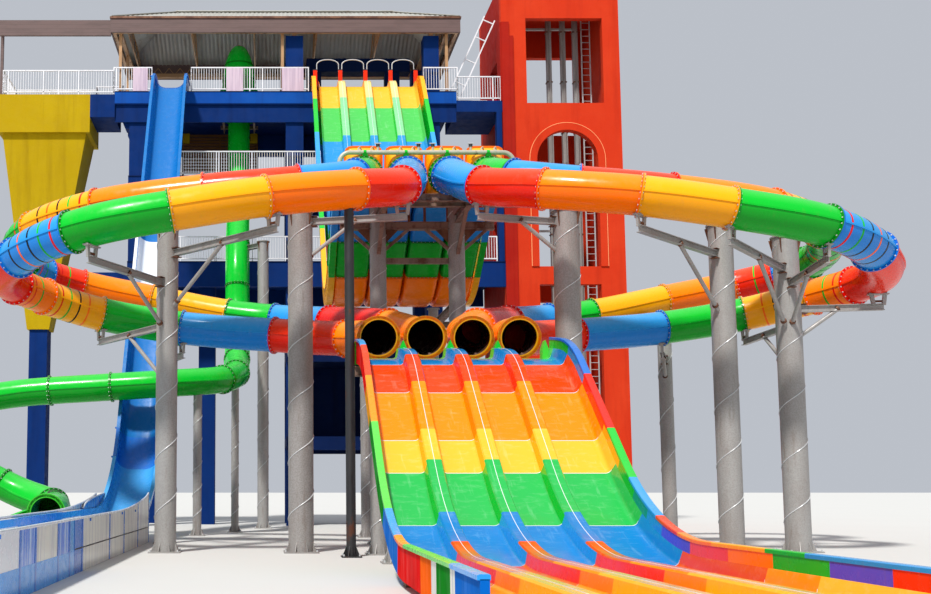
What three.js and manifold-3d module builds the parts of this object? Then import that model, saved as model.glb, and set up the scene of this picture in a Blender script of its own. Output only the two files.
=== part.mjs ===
// Water slide tower: a concrete launch tower, an access shaft and a pedestal that carry a
// four-lane racer with looping tubes, a free-fall chute and a capsule slide.
// Millimetres, +Z up. While it is drawn, x = 0 is the racer's centre line, y = 0 is the
// tower's front face and the visitor stands at negative y.

import * as THREE from 'three';
import Module from 'manifold-3d';
import { mergeVertices } from 'three/addons/utils/BufferGeometryUtils.js';
import { ConvexGeometry } from 'three/addons/geometries/ConvexGeometry.js';

const wasm = await Module();
wasm.setup();

// Driving dimensions of the tower
const GAP = 0.3;
const LAP = 1;
const STOREY = 3920;
const DECK_TOP = 5 * STOREY;
const TOWER_DEPTH = 5000;
const TOWER_LEFT = -11410;
const TOWER_RIGHT = 4090;
const SLAB = 350;
const COLUMN_LINES = [
  { name: 'left', x: -10290, width: 940 },
  { name: 'middle', x: -3250, width: 800 },
  { name: 'right', x: 3010, width: 700 },
];
const COLUMN_DEPTH = 700;
const COLUMN_SETBACK = 200;
const COLUMN_ROWS = [COLUMN_SETBACK, TOWER_DEPTH - COLUMN_SETBACK - COLUMN_DEPTH];
const BRIDGE_TOP = 19170;
const BRIDGE_LOW = 18650;

const ROOF = { eave: 23050, overhang: 200, pitch: 29, sheet: 70, fascia: 760, board: 60 };
const FRAME_LOW = ROOF.eave - ROOF.fascia + 20;
const UPPER_TOP = FRAME_LOW - GAP;
const RAIL = { height: 1160, low: 130, bar: 50, inset: 60, bay: 3200 };

const SHAFT = { x0: 6170, x1: 11550, y0: 0, y1: 4600, top: 24700, wall: 300 };
const PEDESTAL = {
  x0: -16700, x1: -12530, depth: 2400, top: 19460, cap: 17700, foot: 8800, neck: 500, column: -14850,
};

// Driving dimensions of the slides
const LANE = 1150;
const LANES = [-1.5, -0.5, 0.5, 1.5].map((n) => n * LANE);
const FLUME_HALF = 2.15 * LANE;
const DIVIDER = { width: 300, height: 260 };
const TUBE_R = 475;
const TUBE_BORE = 440;
const TUBE_SIDES = 10;
const CHUTE = { x: -8850, half: 750, floor: 100, wall: 90, height: 620 };
const CAPSULE = { x: -5840, y: 2100, radius: 800, height: 3100, skin: 60 };

// Colour, roughness and metalness of each surface
const PAINT = {
  towerBlue: [0x1a4ba0, 0.75, 0],
  towerDark: [0x0c2f70, 0.8, 0],
  shaftRed: [0xe0491f, 0.8, 0],
  pedestalYellow: [0xc8a400, 0.8, 0],
  roofGrey: [0xb9b9b4, 0.5, 0.5],
  fasciaGrey: [0x6b6260, 0.6, 0.2],
  trussTan: [0xb08a62, 0.6, 0.2],
  railWhite: [0xe8e8ec, 0.4, 0.1],
  steelGrey: [0x9b9a96, 0.45, 0.6],
  steelBrown: [0x8d7468, 0.6, 0.4],
  tubeRed: [0xf0461e, 0.25, 0],
  tubeOrange: [0xff9600, 0.25, 0],
  tubeGreen: [0x00be32, 0.25, 0],
  tubeBlue: [0x2882dc, 0.25, 0],
  pipeGrey: [0xb5b2a0, 0.4, 0.2],
};

const group = new THREE.Group();

function place(name, geometry, key) {
  const [color, roughness, metalness] = PAINT[key];
  const material = new THREE.MeshStandardMaterial({ color, roughness, metalness });
  const mesh = new THREE.Mesh(geometry, material);
  mesh.name = name;
  group.add(mesh);
}

// Solids, joins and cuts
function toManifold(geometry) {
  const bare = geometry.clone();
  bare.deleteAttribute('normal');
  bare.deleteAttribute('uv');
  const merged = mergeVertices(bare, 1e-3);
  const mesh = new wasm.Mesh({
    numProp: 3,
    vertProperties: Float32Array.from(merged.attributes.position.array),
    triVerts: Uint32Array.from(merged.index.array),
  });
  return new wasm.Manifold(mesh);
}

function toGeometry(solid) {
  const mesh = solid.getMesh();
  const geometry = new THREE.BufferGeometry();
  geometry.setAttribute('position', new THREE.BufferAttribute(mesh.vertProperties, 3));
  geometry.setIndex(new THREE.BufferAttribute(mesh.triVerts, 1));
  return geometry;
}

function join(...geometries) {
  const solids = geometries.map(toManifold);
  return toGeometry(solids.reduce((sum, solid) => sum.add(solid)));
}

function cut(geometry, ...tools) {
  const start = toManifold(geometry);
  return toGeometry(tools.map(toManifold).reduce((rest, tool) => rest.subtract(tool), start));
}

// Boxes, posts and bars
function box(x0, x1, y0, y1, z0, z1) {
  const geometry = new THREE.BoxGeometry(x1 - x0, y1 - y0, z1 - z0);
  return geometry.translate((x0 + x1) / 2, (y0 + y1) / 2, (z0 + z1) / 2);
}

function post(x, y, width, depth, z0, z1) {
  return box(x - width / 2, x + width / 2, y - depth / 2, y + depth / 2, z0, z1);
}

function rod(x, y, radius, z0, z1, sides = 12) {
  const geometry = new THREE.CylinderGeometry(radius, radius, z1 - z0, sides);
  return geometry.rotateX(Math.PI / 2).translate(x, y, (z0 + z1) / 2);
}

function bar(from, to, width, height) {
  const start = new THREE.Vector3(...from);
  const end = new THREE.Vector3(...to);
  const direction = end.clone().sub(start);
  const geometry = new THREE.BoxGeometry(width, height, direction.length());
  direction.normalize();
  const side = new THREE.Vector3(-direction.y, direction.x, 0);
  if (side.length() < 0.001) side.set(1, 0, 0);
  side.normalize();
  const up = direction.clone().cross(side);
  geometry.applyMatrix4(new THREE.Matrix4().makeBasis(side, up, direction));
  const middle = start.add(end).multiplyScalar(0.5);
  return geometry.translate(middle.x, middle.y, middle.z);
}

// Outlines carried along an axis
function extrude(points, depth, holes = []) {
  const shape = new THREE.Shape(points.map(([u, v]) => new THREE.Vector2(u, v)));
  shape.holes.push(...holes);
  return new THREE.ExtrudeGeometry(shape, { depth, bevelEnabled: false, curveSegments: 8 });
}

function prismX(points, x0, x1) {
  const turn = new THREE.Matrix4().makeBasis(
    new THREE.Vector3(0, 1, 0), new THREE.Vector3(0, 0, 1), new THREE.Vector3(1, 0, 0));
  return extrude(points, x1 - x0).applyMatrix4(turn).translate(x0, 0, 0);
}

function prismY(points, y0, y1, holes = []) {
  const turn = new THREE.Matrix4().makeBasis(
    new THREE.Vector3(1, 0, 0), new THREE.Vector3(0, 0, 1), new THREE.Vector3(0, -1, 0));
  return extrude(points, y1 - y0, holes).applyMatrix4(turn).translate(0, y1, 0);
}

// Flume paths: corner points in (y, z), each rounded by its own radius
function roundedPath(corners, pieces = 4) {
  const path = [];
  const points = corners.map(([y, z]) => new THREE.Vector2(y, z));
  points.forEach((corner, i) => {
    const radius = corners[i][2] ?? 0;
    if (!radius) {
      path.push(corner.clone());
      return;
    }
    const back = points[i - 1].clone().sub(corner).normalize();
    const ahead = points[i + 1].clone().sub(corner).normalize();
    const half = Math.acos(back.dot(ahead)) / 2;
    const centre = back.clone().add(ahead).normalize().multiplyScalar(radius / Math.sin(half));
    centre.add(corner);
    const first = corner.clone().addScaledVector(back, radius / Math.tan(half)).sub(centre);
    const turn = -Math.sign(back.cross(ahead)) * (Math.PI - 2 * half);
    for (let k = 0; k <= pieces; k += 1) {
      const spoke = first.clone().rotateAround(new THREE.Vector2(), turn * (k / pieces));
      path.push(spoke.add(centre));
    }
  });
  return path;
}

// The path moved along its upward normals; it runs from the tower towards the visitor.
function offsetPath(path, distance) {
  return path.map((point, i) => {
    const before = path[Math.max(i - 1, 0)];
    const after = path[Math.min(i + 1, path.length - 1)];
    const along = after.clone().sub(before).normalize();
    return point.clone().addScaledVector(new THREE.Vector2(along.y, -along.x), distance);
  });
}

// A strip of flume between two heights above its path, from x0 to x1.
function strip(path, low, high, x0, x1) {
  const under = offsetPath(path, low);
  const over = offsetPath(path, high).reverse();
  return prismX([...under, ...over].map((p) => [p.x, p.y]), x0, x1);
}

// Low plinths that carry a run-out: each reaches from the ground into its floor.
function plinths(path, thickness, rows, x0, x1) {
  return rows.map((y) => {
    const i = path.findIndex((point) => point.x < y);
    const [above, below] = [path[i - 1], path[i]];
    const t = (above.x - y) / (above.x - below.x);
    const floor = above.y + (below.y - above.y) * t;
    return box(x0, x1, y - 150, y + 150, 0, floor - thickness / 2);
  });
}

// Tubes along smooth curves
function ring(radius, sides) {
  return Array.from({ length: sides }, (unused, i) => {
    const angle = (2 * Math.PI * (i + 0.5)) / sides;
    return new THREE.Vector2(radius * Math.cos(angle), radius * Math.sin(angle));
  });
}

class Stretch extends THREE.Curve {
  constructor(whole, from, to) {
    super();
    this.whole = whole;
    this.from = from;
    this.to = to;
  }

  getPoint(t, target = new THREE.Vector3()) {
    return this.whole.getPointAt(this.from + (this.to - this.from) * t, target);
  }

  getTangent(t, target = new THREE.Vector3()) {
    return this.whole.getTangentAt(this.from + (this.to - this.from) * t, target);
  }
}

function smooth(points) {
  const curve = new THREE.CatmullRomCurve3(
    points.map((p) => new THREE.Vector3(...p)), false, 'centripetal');
  curve.arcLengthDivisions = 600;
  return curve;
}

function pipe(curve, steps, outer, inner, sides = TUBE_SIDES) {
  const shape = new THREE.Shape(ring(outer, sides));
  if (inner) shape.holes.push(new THREE.Path(ring(inner, sides)));
  return new THREE.ExtrudeGeometry(shape, { steps, extrudePath: curve, bevelEnabled: false });
}

// The stretches of one tube as hollow pieces, and the full rooms that they take up.
function tubePiece(curve, { from, to, steps }) {
  const slack = GAP / curve.getLength();
  const stretch = new Stretch(curve, from === 0 ? 0 : from + slack, to);
  return pipe(stretch, steps, TUBE_R, TUBE_BORE);
}

function tubeRooms(curve, cuts) {
  return cuts.map(({ from, to, steps }) =>
    pipe(new Stretch(curve, from, to), steps, TUBE_R + GAP, 0));
}

// Launch tower: portal frames of two columns, with the floors resting on their beams
function columnHoles(z0, z1, lines = COLUMN_LINES) {
  return lines.flatMap(({ x, width }) => COLUMN_ROWS.map((y) =>
    box(x - width / 2 - GAP, x + width / 2 + GAP, y - GAP, y + COLUMN_DEPTH + GAP, z0, z1)));
}

// A tapered bracket on the outer face of a left column, under the end of the deck.
function corbel(face, y, top) {
  const inset = 60;
  const end = TOWER_LEFT + 20;
  const outline = [
    [face + LAP, 17950], [face - 200, 17970], [end, DECK_TOP - 600], [end, top - LAP],
    [face + LAP, top - LAP],
  ];
  return prismY(outline, y + inset, y + COLUMN_DEPTH - inset);
}

function towerFrames() {
  const beamDepth = 600;
  COLUMN_LINES.forEach(({ name, x, width }) => {
    const top = name === 'left' ? DECK_TOP - SLAB - GAP : UPPER_TOP;
    const parts = COLUMN_ROWS.map((y) =>
      box(x - width / 2, x + width / 2, y, y + COLUMN_DEPTH, 0, top));
    if (name === 'left') parts.push(...COLUMN_ROWS.map((y) => corbel(x - width / 2, y, top)));
    const levels = name === 'left' ? [3, 4, 5] : [1, 2, 3, 4, 5];
    for (const level of levels) {
      const z1 = level * STOREY - SLAB - GAP;
      parts.push(box(x - 180, x + 180, COLUMN_ROWS[0] + COLUMN_DEPTH - LAP,
        COLUMN_ROWS[1] + LAP, z1 - beamDepth, z1));
    }
    place(`${name}_frame`, join(...parts), 'towerBlue');
  });
}

// A floor with a downstand beam along its front and back edges.
function floorPlate(x0, x1, top, beam, beamWidth = 180) {
  const low = top - beam;
  const high = top - SLAB + LAP;
  const plate = box(x0, x1, 0, TOWER_DEPTH, top - SLAB, top);
  const front = box(x0, x1, 0, beamWidth, low, high);
  const back = box(x0, x1, TOWER_DEPTH - beamWidth, TOWER_DEPTH, low, high);
  return join(plate, front, back);
}

function topDeck() {
  const beam = 1400;
  const fascia = { depth: 600, proud: 100 };
  const recess = box(TOWER_LEFT - LAP, TOWER_RIGHT + LAP, -LAP, fascia.proud,
    DECK_TOP - beam - LAP, DECK_TOP - fascia.depth);
  const plate = cut(floorPlate(TOWER_LEFT, TOWER_RIGHT, DECK_TOP, beam), recess);
  const shaftBridge = box(TOWER_RIGHT - LAP, SHAFT.x0 - GAP, 0, 3000, BRIDGE_LOW, BRIDGE_TOP);
  const bridgePost = box(5900, 6140, 0, 360, 3 * STOREY + GAP, BRIDGE_LOW + LAP);
  const pedestalBridge = box(PEDESTAL.x1 + GAP, TOWER_LEFT + LAP, 0, 2000, 18400, PEDESTAL.top);
  const whole = join(plate, shaftBridge, bridgePost, pedestalBridge);
  const hole = rod(CAPSULE.x, CAPSULE.y, TUBE_BORE, DECK_TOP - SLAB - LAP, DECK_TOP + LAP);
  const passing = columnHoles(DECK_TOP - SLAB - LAP, DECK_TOP + LAP, COLUMN_LINES.slice(1));
  place('top_deck', cut(whole, hole, ...passing), 'towerBlue');
}

function galleries() {
  const left = COLUMN_LINES[0].x - COLUMN_LINES[0].width / 2;
  const right = COLUMN_LINES[2].x + COLUMN_LINES[2].width / 2;
  const upper = 4 * STOREY;
  const well = box(CAPSULE.x - 800, CAPSULE.x + 800, 300, 3300, upper - 600, upper + LAP);
  const fourth = floorPlate(left, right, upper, 500);
  place('gallery_floor_4', cut(fourth, well, ...columnHoles(upper - 600, upper + LAP)),
    'towerBlue');

  const top = 3 * STOREY;
  const plate = floorPlate(left, SHAFT.x0 - GAP, top, 1150);
  const lowColumn = post(-7300, 2500, 760, 700, 0, top - SLAB + LAP);
  const tie = box(-14200, left + 250, 900, 1500, 10850, top - SLAB + 40);
  const third = cut(plate, ...columnHoles(top - 1300, top + LAP));
  place('gallery_floor_3', join(third, lowColumn, tie), 'towerBlue');
}

// Two stair floors behind the racer, held together by the wall at their back.
function stairCore() {
  const [, middle, right] = COLUMN_LINES;
  const x0 = middle.x - middle.width / 2;
  const x1 = right.x + right.width / 2;
  const floors = [1, 2].map((level) => floorPlate(x0, x1, level * STOREY, 600));
  const wall = box(middle.x + middle.width, right.x - right.width,
    TOWER_DEPTH - 180, TOWER_DEPTH, STOREY - LAP, 2 * STOREY - SLAB);
  const holes = [1, 2].flatMap((level) =>
    columnHoles(level * STOREY - 700, level * STOREY + LAP));
  place('stair_core', cut(join(...floors, wall), ...holes), 'towerDark');
}

function upperPortal() {
  const beam = box(-2610, 2320, 2300, 2900, 21500, 22150);
  const legs = [-2265, 1480].map((x) => post(x, 2600, 700, 500, DECK_TOP + GAP, 21500 + LAP));
  place('upper_portal', join(beam, ...legs), 'towerDark');
}

// Hip roof over the deck
function hip(lift) {
  const x0 = TOWER_LEFT - ROOF.overhang;
  const x1 = TOWER_RIGHT + ROOF.overhang;
  const y0 = -ROOF.overhang;
  const y1 = TOWER_DEPTH + ROOF.overhang;
  const run = (y1 - y0) / 2;
  const base = ROOF.eave + lift;
  const ridge = base + run * Math.tan(THREE.MathUtils.degToRad(ROOF.pitch));
  return new ConvexGeometry([
    new THREE.Vector3(x0, y0, base), new THREE.Vector3(x1, y0, base),
    new THREE.Vector3(x1, y1, base), new THREE.Vector3(x0, y1, base),
    new THREE.Vector3(x0 + run, y0 + run, ridge), new THREE.Vector3(x1 - run, y0 + run, ridge),
  ]);
}

// A bare board runs on from the fascia to a post on the pedestal.
function signBoard() {
  const { x0, top } = PEDESTAL;
  const board = box(x0, TOWER_LEFT - ROOF.overhang + LAP, -120, 0, 22180, 22900);
  const leg = post(x0 + 70, 250, 130, 130, top + GAP, 22600);
  const tie = box(x0 + 5, x0 + 135, -LAP, 250, 22400, 22530);
  return join(board, leg, tie);
}

function roof() {
  place('roof_sheet', cut(hip(0), hip(-ROOF.sheet)), 'roofGrey');
  const x0 = TOWER_LEFT - ROOF.overhang;
  const x1 = TOWER_RIGHT + ROOF.overhang;
  const y0 = -ROOF.overhang;
  const y1 = TOWER_DEPTH + ROOF.overhang;
  const z1 = ROOF.eave - GAP;
  const z0 = z1 - ROOF.fascia;
  const inset = ROOF.board;
  const inside = box(x0 + inset, x1 - inset, y0 + inset, y1 - inset, z0 - LAP, z1 + LAP);
  const boards = cut(box(x0, x1, y0, y1, z0, z1), inside);
  place('roof_fascia', join(boards, signBoard()), 'fasciaGrey');
  roofFrame(x0 + inset + GAP, x1 - inset - GAP, y0 + inset + GAP, y1 - inset - GAP);
}

// Eave beams, posts, and cross beams over the posts and the columns.
function roofFrame(x0, x1, y0, y1) {
  const z0 = FRAME_LOW;
  const z1 = FRAME_LOW + 220;
  const parts = [
    box(x0, x1, y0, y0 + 160, z0 + 12, z1), box(x0, x1, y1 - 160, y1, z0 + 12, z1),
    box(x0 + LAP, x0 + 160, y0 + LAP, y1 - LAP, z0 + 16, z1 - 6),
    box(x1 - 160, x1 - LAP, y0 + LAP, y1 - LAP, z0 + 16, z1 - 6),
  ];
  const postLines = [
    { x: -11200, rows: [200, 2500, 4800] }, { x: -3800, rows: [200, 4800] },
    { x: 3700, rows: [200, 2500, 4800] },
  ];
  for (const { x, rows } of postLines) {
    parts.push(box(x - 75, x + 75, y0 + 2 * LAP, y1 - 2 * LAP, z0 + 20, z1 - 30));
    for (const y of rows) parts.push(post(x, y, 130, 130, DECK_TOP + GAP, z1 - 60));
  }
  for (const { x } of COLUMN_LINES.slice(1)) {
    parts.push(box(x - 90, x + 90, y0 + 2 * LAP, y1 - 2 * LAP, z0, z1 - 50));
  }
  place('roof_frame', join(...parts), 'trussTan');
}

// A railing: top bar, bottom bar and posts along points on the floors
function railing(name, points) {
  const parts = [];
  const half = RAIL.bar / 2;
  points.slice(1).forEach(([bx, by, bz], i) => {
    const [ax, ay, az] = points[i];
    const bays = Math.max(1, Math.round(Math.hypot(bx - ax, by - ay) / RAIL.bay));
    const high = RAIL.height - half;
    parts.push(bar([ax, ay, az + high], [bx, by, bz + high], RAIL.bar, RAIL.bar));
    parts.push(bar([ax, ay, az + RAIL.low], [bx, by, bz + RAIL.low], RAIL.bar, RAIL.bar));
    for (let k = 0; k <= bays; k += 1) {
      const t = k / bays;
      const floor = t < 0.5 ? az : bz;
      parts.push(post(ax + (bx - ax) * t, ay + (by - ay) * t, RAIL.bar, RAIL.bar,
        floor + GAP, floor + RAIL.height - 2));
    }
  });
  place(name, join(...parts), 'railWhite');
}

function railings() {
  const front = RAIL.inset;
  const back = TOWER_DEPTH - RAIL.inset;
  const right = TOWER_RIGHT - RAIL.inset;
  const left = TOWER_LEFT + RAIL.inset;
  const bridgeStart = TOWER_RIGHT + RAIL.inset;
  const bridgeEnd = SHAFT.x0 - RAIL.inset;
  const pedLeft = PEDESTAL.x0 + 200;
  const pedRight = PEDESTAL.x1 - RAIL.inset;
  const pedBack = PEDESTAL.depth - RAIL.inset;
  const bridgeLeft = TOWER_LEFT - RAIL.inset;
  const low = PEDESTAL.top;
  railing('left_rail', [
    [CHUTE.x - 900, front, DECK_TOP], [bridgeLeft, front, DECK_TOP], [bridgeLeft, front, low],
    [pedLeft, front, low], [pedLeft, pedBack, low], [pedRight, pedBack, low],
    [pedRight, 1940, low], [bridgeLeft, 1940, low],
  ]);
  railing('middle_rail', [[CHUTE.x + 900, front, DECK_TOP], [-FLUME_HALF - 150, front, DECK_TOP]]);
  railing('right_rail', [
    [FLUME_HALF + 150, front, DECK_TOP], [bridgeStart, front, DECK_TOP],
    [bridgeStart, front, BRIDGE_TOP], [bridgeEnd, front, BRIDGE_TOP],
  ]);
  railing('back_rail', [
    [left, 2100, DECK_TOP], [left, back, DECK_TOP], [right, back, DECK_TOP],
    [right, 2940, DECK_TOP], [bridgeStart, 2940, DECK_TOP], [bridgeStart, 2940, BRIDGE_TOP],
    [bridgeEnd, 2940, BRIDGE_TOP],
  ]);
  railing('gallery_rail_4', [[-10000, front, 4 * STOREY], [3300, front, 4 * STOREY]]);
  railing('gallery_rail_3', [[-10000, front, 3 * STOREY], [5800, front, 3 * STOREY]]);
}

// Access shaft, with a window above two tall arches one over the other
function opening(left, right, low, high) {
  const path = new THREE.Path();
  path.moveTo(left, low);
  path.lineTo(right, low);
  path.lineTo(right, high);
  path.lineTo(left, high);
  path.closePath();
  return path;
}

function archedOpening(left, right, low, spring) {
  const path = new THREE.Path();
  path.moveTo(left, low);
  path.lineTo(right, low);
  path.lineTo(right, spring);
  path.absarc((left + right) / 2, spring, (right - left) / 2, 0, Math.PI, false);
  path.lineTo(left, low);
  return path;
}

function shaftFace(y0, y1) {
  const { x0, x1, top } = SHAFT;
  const holes = [
    opening(7300, 10790, 19060, 23050), archedOpening(7680, 10430, 11530, 16420),
    opening(7680, 10430, 3900, 10720),
  ];
  return prismY([[x0, 0], [x1, 0], [x1, top], [x0, top]], y0, y1, holes);
}

function accessShaft() {
  const { x0, x1, y0, y1, top, wall } = SHAFT;
  place('shaft_front_wall', shaftFace(y0, y0 + wall), 'shaftRed');
  const inner0 = y0 + wall + GAP;
  const roofSlab = box(x0 + wall + GAP, x1 - wall - GAP, inner0, y1 - wall + LAP, top - 300,
    top - 20);
  place('shaft_back_wall', join(shaftFace(y1 - wall, y1), roofSlab), 'shaftRed');
  const inner1 = y1 - wall - GAP;
  const doorHeight = 2200;
  const doors = [0, 3 * STOREY, BRIDGE_TOP].map((z) =>
    box(x0 - LAP, x0 + wall + LAP, 900, 2400, z - (z ? 0 : LAP), z + doorHeight));
  const side = box(x0, x0 + wall, inner0, inner1, 0, top);
  place('shaft_left_wall', cut(side, ...doors), 'shaftRed');
  place('shaft_right_wall', box(x1 - wall, x1, inner0, inner1, 0, top), 'shaftRed');
  const lines = [7480, 8890, 9560, 10150];
  const guideTop = top - 300 - GAP;
  const guides = lines.map((x) => box(x - 110, x + 110, 1900, 2120, 0, guideTop));
  const ties = [];
  for (let z = 3800; z < guideTop; z += 4900) {
    ties.push(box(lines[0], lines[3], 1960, 2060, z, z + 90));
  }
  place('lift_guides', join(...guides, ...ties), 'steelGrey');
}

// A ladder that leans over the bridge against the shaft; its rungs cross it squarely.
function roofLadder() {
  const lean = THREE.MathUtils.degToRad(65.6);
  const width = 520;
  const length = 4500;
  const start = [3700, 19330];
  const y = 600;
  const at = (along, across) => [
    start[0] + along * Math.cos(lean) + across * Math.sin(lean), y,
    start[1] + along * Math.sin(lean) - across * Math.cos(lean),
  ];
  const rails = [bar(at(0, 0), at(length, 0), 60, 60), bar(at(0, width), at(length, width), 60, 60)];
  const rungs = [0.24, 0.5, 0.76, 0.96].map((t) =>
    bar(at(t * length, 0), at(t * length, width), 45, 45));
  const deck = box(0, TOWER_RIGHT + GAP, 0, 3000, DECK_TOP - 2000, DECK_TOP + GAP);
  const bridge = box(0, SHAFT.x0, 0, 3000, DECK_TOP - 2000, BRIDGE_TOP + GAP);
  const shaft = box(SHAFT.x0 - GAP, SHAFT.x1, 0, 3000, 0, SHAFT.top);
  place('roof_ladder', cut(join(...rails, ...rungs), deck, bridge, shaft), 'railWhite');
}

// Yellow pedestal: an inverted pyramid under a cap, on one column
function pedestal() {
  const { x0, x1, depth, top, cap, foot, neck, column } = PEDESTAL;
  const cy = depth / 2;
  const lip = 180;
  const block = box(x0, x1, 0, depth, cap, top);
  const cone = new ConvexGeometry([
    new THREE.Vector3(x0 + lip, lip, cap + LAP), new THREE.Vector3(x1 - lip, lip, cap + LAP),
    new THREE.Vector3(x0 + lip, depth - lip, cap + LAP),
    new THREE.Vector3(x1 - lip, depth - lip, cap + LAP),
    new THREE.Vector3(column - neck, cy - neck, foot),
    new THREE.Vector3(column + neck, cy - neck, foot),
    new THREE.Vector3(column - neck, cy + neck, foot),
    new THREE.Vector3(column + neck, cy + neck, foot),
  ]);
  const pocket = box(-14200 - GAP, -10760, 900 - GAP, 1500 + GAP, 10850 - GAP,
    3 * STOREY - SLAB + 40 + GAP);
  place('pedestal_head', cut(join(cone, block), pocket), 'pedestalYellow');
  place('pedestal_column', post(column, cy, 810, 810, 0, foot - GAP), 'towerBlue');
}

// Four-lane racer: open launch flume, four looping tubes and the final flume
const FLOOR_THICK = { launch: 160, final: 120 };
const LAUNCH_START = DECK_TOP + FLOOR_THICK.launch + GAP;
const LAUNCH_PATH = roundedPath([
  [1000, LAUNCH_START], [-380, LAUNCH_START, 700], [-9900, 7000, 2500], [-14500, 10450, 1500],
  [-16280, 10065],
]);
const FINAL_PATH = roundedPath([
  [-20200, 4760], [-21700, 4500, 2500], [-26430, 250, 6000], [-34500, 250],
]);

function wallStrip(path, height, x0, x1) {
  return strip(path, -10, height, x0, x1);
}

function dividers(path, lines) {
  const half = DIVIDER.width / 2;
  return lines.map((x) => wallStrip(path, DIVIDER.height, x - half, x + half));
}

function launchFlume() {
  const side = 150;
  return join(
    strip(LAUNCH_PATH, -FLOOR_THICK.launch, 0, -FLUME_HALF, FLUME_HALF),
    wallStrip(LAUNCH_PATH, 480, -FLUME_HALF, -FLUME_HALF + side),
    wallStrip(LAUNCH_PATH, 480, FLUME_HALF - side, FLUME_HALF),
    ...dividers(LAUNCH_PATH, [-LANE, 0, LANE]),
  );
}

function finalFlume(path, rows) {
  return join(
    strip(path, -FLOOR_THICK.final, 0, -2300, 2520),
    wallStrip(path, 480, -2300, -2200),
    wallStrip(path, 520, 2400, 2520),
    ...dividers(path, [-LANE, 0, LANE]),
    ...plinths(path, FLOOR_THICK.final, rows, -2200, 2420),
  );
}

// The final flume is bolted together where its bend has run out into the level.
function finalFlumes() {
  const seam = FINAL_PATH.at(-2).clone();
  seam.x -= 100;
  const past = seam.clone();
  past.x -= GAP;
  const slope = finalFlume([...FINAL_PATH.slice(0, -1), seam], [-28000]);
  const level = finalFlume([past, FINAL_PATH.at(-1)], [-31100, -34200]);
  place('final_flume', slope, 'tubeOrange');
  place('final_run_out', level, 'tubeOrange');
}

// Centre lines of the right-hand tubes; the left-hand ones mirror them.
const FRONT_LOOP = [
  [575, -16880, 10385], [600, -17500, 10160], [1010, -19400, 9300], [2280, -20600, 8860],
  [4310, -21400, 8460], [6290, -21700, 8080], [8520, -21600, 7680], [10280, -20500, 7350],
  [11230, -19000, 7050], [10600, -17100, 6880], [9230, -15900, 6600], [6920, -15700, 6230],
  [4250, -16400, 5910], [2700, -17250, 5700], [1850, -18400, 5530], [1725, -19300, 5430],
  [1725, -20100, 5290],
];
const REAR_LOOP = [
  [1725, -16880, 10385], [1800, -17400, 10210], [2150, -18300, 9850], [3640, -18900, 9500],
  [6080, -18800, 9310], [8950, -18300, 9050], [10900, -17100, 8780], [11700, -15700, 8480],
  [11500, -14300, 8220], [10300, -13200, 7980], [8100, -13000, 7550], [5700, -13300, 7030],
  [4200, -13700, 6800], [2950, -14700, 6560], [2050, -16300, 6250], [1200, -17600, 5950],
  [660, -18600, 5600], [575, -19400, 5410], [575, -20100, 5290],
];
const LOOP_CUTS = [
  { part: '_outward_tube', from: 0, to: 0.47, steps: 16 },
  { part: '_return_tube', from: 0.47, to: 0.93, steps: 16 },
  { part: '_mouth_tube', from: 0.93, to: 1, steps: 2 },
];
const mirrored = (points) => points.map(([x, y, z]) => [-x, y, z]);
const RACER_TUBES = [
  { lane: 'lane_1', points: mirrored(REAR_LOOP), key: 'tubeOrange' },
  { lane: 'lane_2', points: mirrored(FRONT_LOOP), key: 'tubeRed' },
  { lane: 'lane_3', points: FRONT_LOOP, key: 'tubeRed' },
  { lane: 'lane_4', points: REAR_LOOP, key: 'tubeOrange' },
].map((tube) => ({ ...tube, x: tube.points[0][0], curve: smooth(tube.points) }));

// A tube starts as a hood: a tall rounded mouth at the flume's end that narrows to the tube.
const HOOD = { half: 520, top: 1260, corner: 220, skin: 40, collar: 485, reach: 60 };
const HOOD_RIM = { wider: 35, thick: 50, buried: 5 };
const FLUME_END = LAUNCH_PATH.at(-1);
const FLUME_AHEAD = FLUME_END.clone().sub(LAUNCH_PATH.at(-2)).normalize();

// A point past the flume's end: across it, above its floor and ahead of it.
function pastEnd(x, high, ahead) {
  const y = FLUME_END.x + FLUME_AHEAD.y * high + FLUME_AHEAD.x * ahead;
  const z = FLUME_END.y - FLUME_AHEAD.x * high + FLUME_AHEAD.y * ahead;
  return new THREE.Vector3(x, y, z);
}

function mouthOutline(x, half, low, high, ahead) {
  return [-1, 1].flatMap((side) => {
    const corner = [0, 1, 2, 3].map((k) => {
      const angle = (k * Math.PI) / 6;
      const across = half - HOOD.corner * (1 - Math.cos(angle));
      return pastEnd(x + side * across, high - HOOD.corner * (1 - Math.sin(angle)), ahead);
    });
    return [pastEnd(x + side * half, low, ahead), ...corner];
  });
}

function collar(curve, radius, reach) {
  const tangent = curve.getTangentAt(0);
  const centre = curve.getPointAt(0).addScaledVector(tangent, reach);
  const side = new THREE.Vector3(-tangent.y, tangent.x, 0).normalize();
  const up = tangent.clone().cross(side);
  return ring(radius, 16).map((p) =>
    centre.clone().addScaledVector(side, p.x).addScaledVector(up, p.y));
}

function hoodSolids({ x, curve }, grow) {
  const { half, top, collar: radius, reach } = HOOD;
  const { wider, thick, buried } = HOOD_RIM;
  const low = -FLOOR_THICK.launch;
  const wide = half + wider + grow;
  const high = top + wider + grow;
  return [
    new ConvexGeometry([
      ...mouthOutline(x, half + grow, low + buried - grow, top + grow, GAP + buried - grow),
      ...collar(curve, radius + grow, 0), ...collar(curve, radius + grow, reach + grow),
    ]),
    new ConvexGeometry([
      ...mouthOutline(x, wide, low - grow, high, GAP - grow),
      ...mouthOutline(x, wide, low - grow, high, thick + grow),
    ]),
  ];
}

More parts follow.
